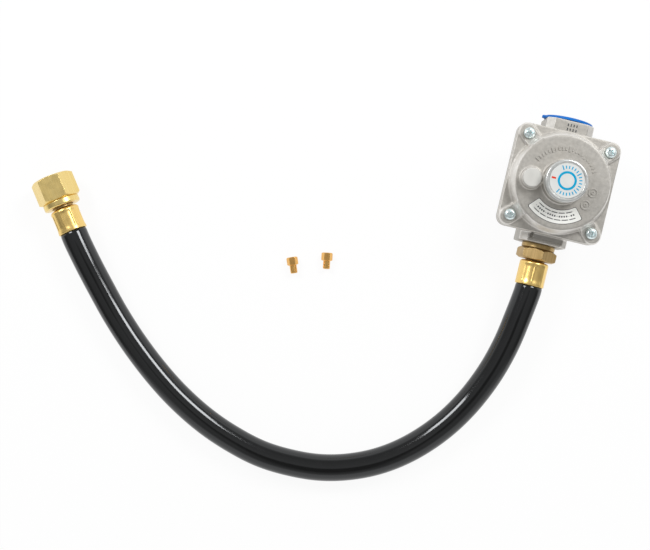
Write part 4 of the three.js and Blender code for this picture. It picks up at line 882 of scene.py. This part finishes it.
def thread(outline, radius, depth, start, end, pitch):
    """Rings of an internal thread, as a ridge that winds along the bore."""
    count = round((end - start) / pitch * 6)
    rings = []
    for k in range(count + 1):
        height = start + (end - start) * k / count
        ring = []
        for x, y in outline:
            angle = math.atan2(y, x)
            wave = abs(2 * ((height / pitch + angle / (2 * math.pi)) % 1) - 1)
            ring.append(((radius - depth * wave) * math.cos(angle), (radius - depth * wave) * math.sin(angle), height))
        rings.append(ring)
    return rings


def outlet_fitting():
    """The fitting in the outlet port: thread, collar, hexagon and a barbed stem into the hose."""
    flats, start, end, roll = OUTLET_HEX
    outline = hexagon(flats, 0.5)
    place = along(0, -OUTLET_REACH, PORT_HEIGHT, -90)
    collar, bore = OUTLET_COLLAR_RADIUS, STEM_BORE_RADIUS
    thread_radius, depth = PORT_THREAD_RADIUS, OUTLET_THREAD_LENGTH
    outside = rounded([
        (bore, -depth), (thread_radius - 1, -depth), (thread_radius, 1 - depth), (thread_radius, FIT_GAP),
        (collar, FIT_GAP, 0.3), (collar, start - 0.35, 0.25), (NECK_RADIUS + 3.1, start - 0.35, 0.2),
        (NECK_RADIUS + 3, start),
    ])
    rings = [ring_at(outline, r, z, roll) for r, z in outside]
    rings += hexagon_bar(outline, flats, start, end, roll)
    root, tip = OUTLET_FERRULE_START - FIT_GAP, OUTLET_MOUTH - STEM_TIP
    tail = rounded([(NECK_RADIUS + 1.5, end), (NECK_RADIUS, end, 0.4), (NECK_RADIUS, root), (4.3, root + 0.1)])
    rings += [ring_at(outline, r, z, roll) for r, z in [*tail, *barbs(root, tip), (bore, tip)]]
    fitting = bevelled(loft("outlet_fitting_turning", rings, loop=True, place=place))
    dressed(fitting, DULL_BRASS_AND_PAINTED_SHADE, "root", ["outlet_fitting"])


def barbs(root, tip, count=4):
    """Radius and place of a barbed stem from its root to its tip."""
    pitch = (tip - root) / count
    low, crest, last = BARB_RADII
    outline = []
    for i in range(count):
        outline += [(low, root + i * pitch + 0.05), (crest, root + i * pitch + 0.3 * pitch)]
    return outline + [(last, tip)]


def ferrule(name, place, node, finish, roll):
    """A brass cup with its closed end at 0, pressed by eight hollow dies that leave a rib between every two."""
    sides, ribs, pressed, rib_width = 240, 8, 8.22, 0.42
    rings = []
    hole, inside, floor = 5.2, FERRULE_RADIUS - 1, 1.2
    shell = rounded([
        (hole, 0), (FERRULE_RADIUS, 0, 1.6), (FERRULE_RADIUS, FERRULE_LENGTH, 0.35), (inside, FERRULE_LENGTH, 0.25),
        (inside, floor, 0.8), (hole, floor),
    ], 10)
    outline = []
    for before, after in zip(shell, shell[1:] + shell[:1]):
        count = max(1, int((after - before).length / 0.6))
        outline += [before.lerp(after, k / count) for k in range(count)]
    for r, z in outline:
        # The dies bite between the shoulder and the mouth, and fade out towards either end.
        bite = min(1, max(0, (z - 1.6) / 1.6)) * min(1, max(0, (FERRULE_LENGTH - 0.8 - z) / 2.8))
        bite = bite * bite * (3 - 2 * bite) if r > FERRULE_RADIUS - 0.7 else 0
        ring = []
        for k in range(sides):
            angle = 2 * math.pi * k / sides
            from_rib = math.pi / ribs - abs((angle + math.radians(roll)) % (2 * math.pi / ribs) - math.pi / ribs)
            rib = math.exp(-(pressed * from_rib / rib_width) ** 2)
            size = r + (min(r, pressed + (FERRULE_RADIUS - pressed) * rib) - r) * bite
            ring.append((size * math.cos(angle), size * math.sin(angle), z))
        rings.append(ring)
    dressed(loft(name, rings, loop=True, place=place), finish, "root", [node], sharp=40)


def swivel_nut():
    """The nut at the hose's far end: a round neck, a hexagon and a thread inside."""
    flats, start, end, _ = NUT_HEX
    outline = hexagon(flats)
    shoulder, thread_radius, back = end - NUT_THREAD_DEPTH, NUT_THREAD_RADIUS, NUT_BACK_RADIUS
    neck = rounded([
        (back, NUT_NECK_START, 0.2), (NUT_NECK_RADIUS, NUT_NECK_START, 0.9), (NUT_NECK_RADIUS, start - 0.6, 0.5),
        (NUT_NECK_RADIUS - 0.5, start),
    ])
    rings = [ring_at(outline, r, z) for r, z in neck]
    rings += hexagon_bar(outline, flats, start, end)
    rings += [ring_at(outline, thread_radius + 0.8, end), ring_at(outline, thread_radius, end - 0.8)]
    rings += reversed(thread(outline, thread_radius + 0.35, 0.6, shoulder + 1.2, end - 1, 1.4))
    rings += [ring_at(outline, thread_radius, shoulder), ring_at(outline, back, shoulder)]
    place = along(*FAR_MOUTH, FAR_HEADING)
    nut = bevelled(loft("swivel_nut_turning", rings, loop=True, place=place), 0.05)
    dressed(nut, FAR_BRASS, "nut", ["swivel_nut"])


def far_insert():
    """The insert that the nut turns on: barbs in the hose, a neck and a flanged seat."""
    shoulder = NUT_HEX[2] - NUT_THREAD_DEPTH + FIT_GAP
    root, bore = FERRULE_LENGTH + FIT_GAP, STEM_BORE_RADIUS
    outline = [(bore, STEM_TIP), *reversed(barbs(root, STEM_TIP)), (NECK_RADIUS, root, 0.3),
               (NECK_RADIUS, shoulder), (8.2, shoulder, 0.3), (8.2, shoulder + 3.2, 0.3), (6.8, shoulder + 3.2),
               (bore, shoulder - 0.4, 0.5)]
    insert = turned("flare_insert_turning", outline, 64, along(*FAR_MOUTH, FAR_HEADING))
    # The dull brass on the insert is painted shade in the gap between the nut's neck and the ferrule.
    dressed(insert, DULL_BRASS_AND_PAINTED_SHADE, "root", ["far_insert"])


def spare_orifice(name, x, y, heading):
    """A loose orifice lying on one of its flats: a short hexagon, a stub and a fine bore."""
    outline = hexagon(SPARE_FLATS, 0.1)
    half, bore = SPARE_HALF_LENGTH, SPARE_BORE_RADIUS
    stub, end = SPARE_STUB[0], half + SPARE_STUB[1]
    rings = [ring_at(outline, bore, -half)] + hexagon_bar(outline, SPARE_FLATS, -half, half)
    tip = rounded([(stub + 0.4, half), (stub, half, 0.2), (stub, end, 0.7), (bore + 0.3, end), (bore, end - 0.3)])
    rings += [ring_at(outline, r, z) for r, z in tip]
    spare = bevelled(loft(name + "_turning", rings, loop=True, place=along(x, y, SPARE_FLATS / 2, heading)), 0.06)
    dressed(spare, ORIFICE_BRASS, "spare_" + name, [name])


# ---------------------------------------------------------------- marks

def arc_of_ticks_tree():
    """Bars set along an arc about Z, every so many of them longer, for graduations cast or printed."""
    tree, given, result = new_tree(
        "arc_of_ticks", Count="Int", Radius="Float", Start="Float", End="Float", Length="Float", Width="Float",
        Thickness="Float", Height="Float", Major_Every="Int", Major_Ratio="Float", Finish="Material")
    index = add(tree, "GeometryNodeInputIndex")
    last = add(tree, "ShaderNodeMath", {0: given["Count"], 1: 1.0}, operation="SUBTRACT")
    share = add(tree, "ShaderNodeMath", {0: index, 1: last}, operation="DIVIDE")
    angle = add(tree, "ShaderNodeMapRange", {0: share, 3: given["Start"], 4: given["End"]})
    spots = add(tree, "GeometryNodePoints", {"Count": given["Count"]})
    cos = add(tree, "ShaderNodeMath", {0: angle}, operation="COSINE")
    sin = add(tree, "ShaderNodeMath", {0: angle}, operation="SINE")
    x = add(tree, "ShaderNodeMath", {0: cos, 1: given["Radius"]}, operation="MULTIPLY")
    y = add(tree, "ShaderNodeMath", {0: sin, 1: given["Radius"]}, operation="MULTIPLY")
    place = add(tree, "ShaderNodeCombineXYZ", {"X": x, "Y": y, "Z": given["Height"]})
    placed = add(tree, "GeometryNodeSetPosition", {"Geometry": spots, "Position": place})
    size = add(tree, "ShaderNodeCombineXYZ", {"X": given["Length"], "Y": given["Width"], "Z": given["Thickness"]})
    bar = add(tree, "GeometryNodeMeshCube", {"Size": size})
    turn = add(tree, "ShaderNodeCombineXYZ", {"Z": angle})
    beat = add(tree, "ShaderNodeMath", {0: index, 1: given["Major Every"]}, operation="MODULO")
    major = add(tree, "ShaderNodeMath", {0: beat, 1: 0.5}, operation="LESS_THAN")
    stretch = add(tree, "ShaderNodeMapRange", {0: major, 3: 1.0, 4: given["Major Ratio"]})
    scale = add(tree, "ShaderNodeCombineXYZ", {"X": stretch, "Y": 1.0, "Z": 1.0})
    copies = add(tree, "GeometryNodeInstanceOnPoints", {"Points": placed, "Instance": bar, "Rotation": turn,
                                                        "Scale": scale})
    return finished_tree(tree, result, copies, given["Finish"])


TICKS = arc_of_ticks_tree()


def ticks(name, count, radius, start, end, length, width, low, high, finish, body, every=1, ratio=1.0):
    """Graduations between two angles in degrees, standing from a low to a high place along Z."""
    blank = as_object(name, bmesh.new())
    made = grown(blank, TICKS, Count=count, Radius=radius * MM, Start=math.radians(start), End=math.radians(end),
                 Length=length * MM, Width=width * MM, Thickness=(high - low) * MM, Height=(low + high) / 2 * MM,
                 Major_Every=every, Major_Ratio=float(ratio), Finish=finish)
    return dressed(made, finish, body)


def flat_ring(name, inner, outer, low, high, finish, body="root", at=(0, 0)):
    """A thin ring about Z, cast or printed on a level face."""
    made = turned(name, [(inner, low), (outer, low), (outer, high, 0.05), (inner, high, 0.05)], 64,
                  Matrix.Translation((*at, 0)))
    return dressed(made, finish, body)


def rows_of_dashes_tree():
    """Small bars set out in rows on a level face."""
    tree, given, result = new_tree(
        "rows_of_dashes", Columns="Int", Rows="Int", Pitch="Float", Row_Pitch="Float", Length="Float", Width="Float",
        Thickness="Float", Place="Vector", Finish="Material")
    sides = []
    for count, pitch in ((given["Columns"], given["Pitch"]), (given["Rows"], given["Row Pitch"])):
        gaps = add(tree, "ShaderNodeMath", {0: count, 1: 1.0}, operation="SUBTRACT")
        sides.append(add(tree, "ShaderNodeMath", {0: gaps, 1: pitch}, operation="MULTIPLY"))
    grid = add(tree, "GeometryNodeMeshGrid", {"Size X": sides[0], "Size Y": sides[1], "Vertices X": given["Columns"],
                                              "Vertices Y": given["Rows"]})
    spots = add(tree, "GeometryNodeSetPosition", {"Geometry": grid, "Offset": given["Place"]})
    size = add(tree, "ShaderNodeCombineXYZ", {"X": given["Width"], "Y": given["Length"], "Z": given["Thickness"]})
    bar = add(tree, "GeometryNodeMeshCube", {"Size": size})
    copies = add(tree, "GeometryNodeInstanceOnPoints", {"Points": spots, "Instance": bar})
    return finished_tree(tree, result, copies, given["Finish"])


def marks():
    """Plain graduations, rings and dashes where such a regulator is marked."""
    top = DRUM_TOP
    ticks("cast_graduations", 21, 19.2, 32, 150, 2.0, 0.8, top - 0.3, top + 0.45,
          CAST, "root", 5, 1.5)
    for k, turn in enumerate((-5.7, -31.6)):
        reach, angle = 18, math.radians(turn)
        at = (reach * math.cos(angle), reach * math.sin(angle))
        flat_ring(f"cast_ring_{k + 1}", 2.0, 2.75, top - 0.3, top + 0.35, CAST, at=at)
        flat_ring(f"cast_dot_{k + 1}", 0.4, 1.1, top - 0.3, top + 0.35, CAST, at=at)
    face = CAP_FACE_TOP
    ticks("dial_ticks", 19, 7.5, -120, 120, 1.7, 0.6, face - 0.1, face + 0.05,
          PRINTED_CYAN, "cap", 6, 1.5)
    flat_ring("dial_ring", 4.0, 5.3, face - 0.1, face + 0.05, PRINTED_CYAN, "cap")
    ticks("dial_index", 1, 7.6, 180, 180, 2.4, 1.0, face - 0.1, face + 0.06, PRINTED_RED, "cap")
    height = 2 * PORT_HEIGHT
    dashes = grown(as_object("inlet_dashes", bmesh.new()), rows_of_dashes_tree(), Columns=4, Rows=2, Pitch=1.7 * MM,
                   Row_Pitch=2.6 * MM, Length=1.5 * MM, Width=0.6 * MM, Thickness=0.3 * MM,
                   Place=(0.6 * MM, 33.6 * MM, height * MM), Finish=PRINTED_GREY)
    dressed(dashes, PRINTED_GREY, "root")


SECTOR_RADII, SECTOR_ANGLES = (15.7, 23.3), (-133, -49)


def sector(name, low, high, margin, finish):
    """A flat sector of a ring beside the tower, with rounded corners."""
    inner, outer = SECTOR_RADII[0] - margin, SECTOR_RADII[1] + margin
    start, end = SECTOR_ANGLES
    middle = (inner + outer) / 2
    length = math.radians(end - start) * middle
    left, right, corner = -margin, length + margin, 0.9
    flat = rounded([(left, inner, corner), (right, inner, corner), (right, outer, corner), (left, outer, corner)], 30)
    rim = []
    for before, after in zip(flat, flat[1:] + flat[:1]):
        count = max(1, int((after - before).length))
        for point in (before.lerp(after, k / count) for k in range(count)):
            angle = math.radians(start) + point.x / middle
            rim.append((point.y * math.cos(angle), point.y * math.sin(angle)))
    made = loft(name, [[(x, y, z) for x, y in rim] for z in (low, high)])
    dressed(made, finish, "root")


def sector_label():
    """The white printed sector, a grey band just round its edge that is painted shadow, and rows of plain dashes."""
    high = DRUM_TOP + 0.12
    start, end = SECTOR_ANGLES
    # A grey sector 0.3 mm wider and a little lower, under the label: painted shadow round the label's edge.
    sector("sector_painted_shadow_edge", DRUM_TOP - 0.3, high - 0.06, 0.3, PRINTED_GREY)
    sector("sector_label", DRUM_TOP - 0.3, high, 0, PRINTED_WHITE)
    for row, (radius, count, tall) in enumerate(((17.3, 26, 0.5), (19.3, 18, 0.9), (21.3, 30, 0.5))):
        ticks(f"sector_dashes_{row + 1}", count, radius, start + 7, end - 9, tall, 0.8, high - 0.05, high + 0.05,
              PRINTED_GREY, "root", 5, 0.2)


# ---------------------------------------------------------------- pieces inside the castings

def inner_pieces():
    """Gives the CAD pieces that show as they are their finishes."""
    finishes = {
        "adjusting_screw": BRASS, "inlet_nozzle": BRASS, "valve_pusher": BRASS,
        "spring_seat": ZINC_STEEL, "upper_diaphragm_plate": ZINC_STEEL, "lower_diaphragm_plate": ZINC_STEEL,
        "diaphragm_stem": ZINC_STEEL, "valve_lever": ZINC_STEEL, "lever_pin": ZINC_STEEL, "vent_screen": ZINC_STEEL,
        "valve_disc": BLACK_RUBBER,
    }
    for name, finish in finishes.items():
        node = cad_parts[name]
        node.data.materials.clear()
        node.data.materials.append(finish)


# ---------------------------------------------------------------- stage

def studio():
    """A pale table in a plain grey room, with two softboxes beyond the top of the picture."""
    world = bpy.data.worlds.new("studio")
    bpy.context.scene.world = world
    world.use_nodes = True
    tree = world.node_tree
    output = tree.nodes["World Output"]
    way = add(tree, "ShaderNodeTexCoord").outputs["Generated"]
    height = add(tree, "ShaderNodeSeparateXYZ", {0: way}).outputs["Z"]
    up = add(tree, "ShaderNodeVectorMath", {0: way, 1: PICTURE_UP}, operation="DOT_PRODUCT").outputs["Value"]
    right = add(tree, "ShaderNodeVectorMath", {0: way, 1: PICTURE_RIGHT}, operation="DOT_PRODUCT").outputs["Value"]
    # Grey values by the sine of the elevation, from the far wall round the dim sides to the bright near wall.
    far_wall = add(tree, "ShaderNodeValToRGB", {0: height}, [
        (0.0, "#ffffff"), (0.16, "#ffffff"), (0.34, "#b4b4b4"), (0.5, "#a0a0a0"), (0.9, "#b0b0b0"), (1.0, "#bcbcbc")])
    sides = add(tree, "ShaderNodeValToRGB", {0: height}, [
        (0.0, "#8a8a8a"), (0.35, "#787878"), (0.6, "#a8a8a8"), (0.9, "#b0b0b0"), (1.0, "#bcbcbc")])
    near_wall = add(tree, "ShaderNodeValToRGB", {0: height}, [
        (0.0, "#ffffff"), (0.45, "#ffffff"), (0.62, "#b8b8b8"), (0.8, "#909090"), (1.0, "#bcbcbc")])
    beside = add(tree, "ShaderNodeMapRange", {0: up, 1: 0.05, 2: -0.2})
    nearer = add(tree, "ShaderNodeMapRange", {0: up, 1: -0.5, 2: -0.72})
    grey = add(tree, "ShaderNodeMix", {0: beside, 6: far_wall, 7: sides}, data_type="RGBA")
    grey = add(tree, "ShaderNodeMix", {0: nearer, 6: grey.outputs[2], 7: near_wall}, data_type="RGBA")
    # The camera's dark outline overhead, towards the near side.
    across = add(tree, "ShaderNodeMath", {0: right}, operation="ABSOLUTE")
    narrow = add(tree, "ShaderNodeMapRange", {0: across, 1: 0.24, 2: 0.1})
    back = add(tree, "ShaderNodeMapRange", {0: up, 1: 0.04, 2: -0.08})
    front = add(tree, "ShaderNodeMapRange", {0: up, 1: -0.66, 2: -0.5})
    outline = add(tree, "ShaderNodeMath", {0: narrow, 1: back}, operation="MULTIPLY")
    outline = add(tree, "ShaderNodeMath", {0: outline, 1: front}, operation="MULTIPLY")
    room = add(tree, "ShaderNodeMix", {0: outline, 6: grey.outputs[2], 7: linear("#6e6e6e")}, data_type="RGBA")
    rays = add(tree, "ShaderNodeLightPath")
    around = add(tree, "ShaderNodeBackground", {"Color": room.outputs[2], "Strength": 1.0})
    white = add(tree, "ShaderNodeBackground", {"Color": (1, 1, 1, 1), "Strength": 1.0})
    shown = add(tree, "ShaderNodeMixShader", {0: rays.outputs["Is Camera Ray"], 1: around, 2: white})
    tree.links.new(shown.outputs[0], output.inputs["Surface"])

    aim = Vector(CAMERA_PLACE) * MM
    aim.z = 0
    for name, azimuth, power in (("right_softbox", 48, 8.5), ("left_softbox", -48, 7.5)):
        data = bpy.data.lights.new(name, "AREA")
        data.shape, data.size, data.energy = "SQUARE", 0.46, power
        lamp = bpy.data.objects.new(name, data)
        turn = math.radians(azimuth)
        outwards = Vector(PICTURE_UP) * math.cos(turn) + Vector(PICTURE_RIGHT) * math.sin(turn)
        lamp.location = aim + SOFTBOX_REACH * (outwards + Vector((0, 0, 1))).normalized()
        lamp.rotation_euler = (aim - lamp.location).to_track_quat("-Z", "Y").to_euler()
        bpy.context.scene.collection.objects.link(lamp)

    made = bpy.data.materials.new("pale_table")
    made.use_nodes = True
    tree = made.node_tree
    output = tree.nodes["Material Output"]
    shader = tree.nodes["Principled BSDF"]
    shader.inputs["Base Color"].default_value = (0.97, 0.97, 0.97, 1)
    shader.inputs["Roughness"].default_value = 0.9
    shader.inputs["Specular IOR Level"].default_value = 0.1
    rays = add(tree, "ShaderNodeLightPath")
    glow = add(tree, "ShaderNodeEmission", {"Color": (1, 1, 1, 1), "Strength": 1.0})
    either = add(tree, "ShaderNodeMath", {0: rays.outputs["Is Camera Ray"], 1: rays.outputs["Is Glossy Ray"]},
                 operation="MAXIMUM")
    share = add(tree, "ShaderNodeMath", {0: either, 1: 0.92}, operation="MULTIPLY")
    blend = add(tree, "ShaderNodeMixShader", {0: share, 1: shader.outputs[0], 2: glow})
    tree.links.new(blend.outputs[0], output.inputs["Surface"])
    table = block("table", (-3000, -3000, -20), (3000, 3000, -0.1))
    table.data.materials.append(made)


# ---------------------------------------------------------------- assembly

regulator_body()
regulator_cover()
diaphragm_sheet()
regulating_spring()
cover_screws()
seal_cap()
vent_cap()
dust_plug()
outlet_fitting()
near_closed_end = along(0, -OUTLET_REACH - OUTLET_FERRULE_START, PORT_HEIGHT, -90)
ferrule("outlet_ferrule_pressing", near_closed_end, "outlet_ferrule", FERRULE_BRASS, -2)
heading = math.radians(FAR_HEADING)
far_closed_end = FAR_MOUTH + FERRULE_LENGTH * Vector((math.cos(heading), math.sin(heading), 0))
ferrule("far_ferrule_pressing", along(*far_closed_end, FAR_HEADING + 180), "far_ferrule", FAR_FERRULE_BRASS, -13)
far_insert()
swivel_nut()
for spare, place in SPARES.items():
    spare_orifice(spare, *place)
marks()
sector_label()
inner_pieces()
studio()

bpy.context.scene.view_settings.view_transform = "Standard"
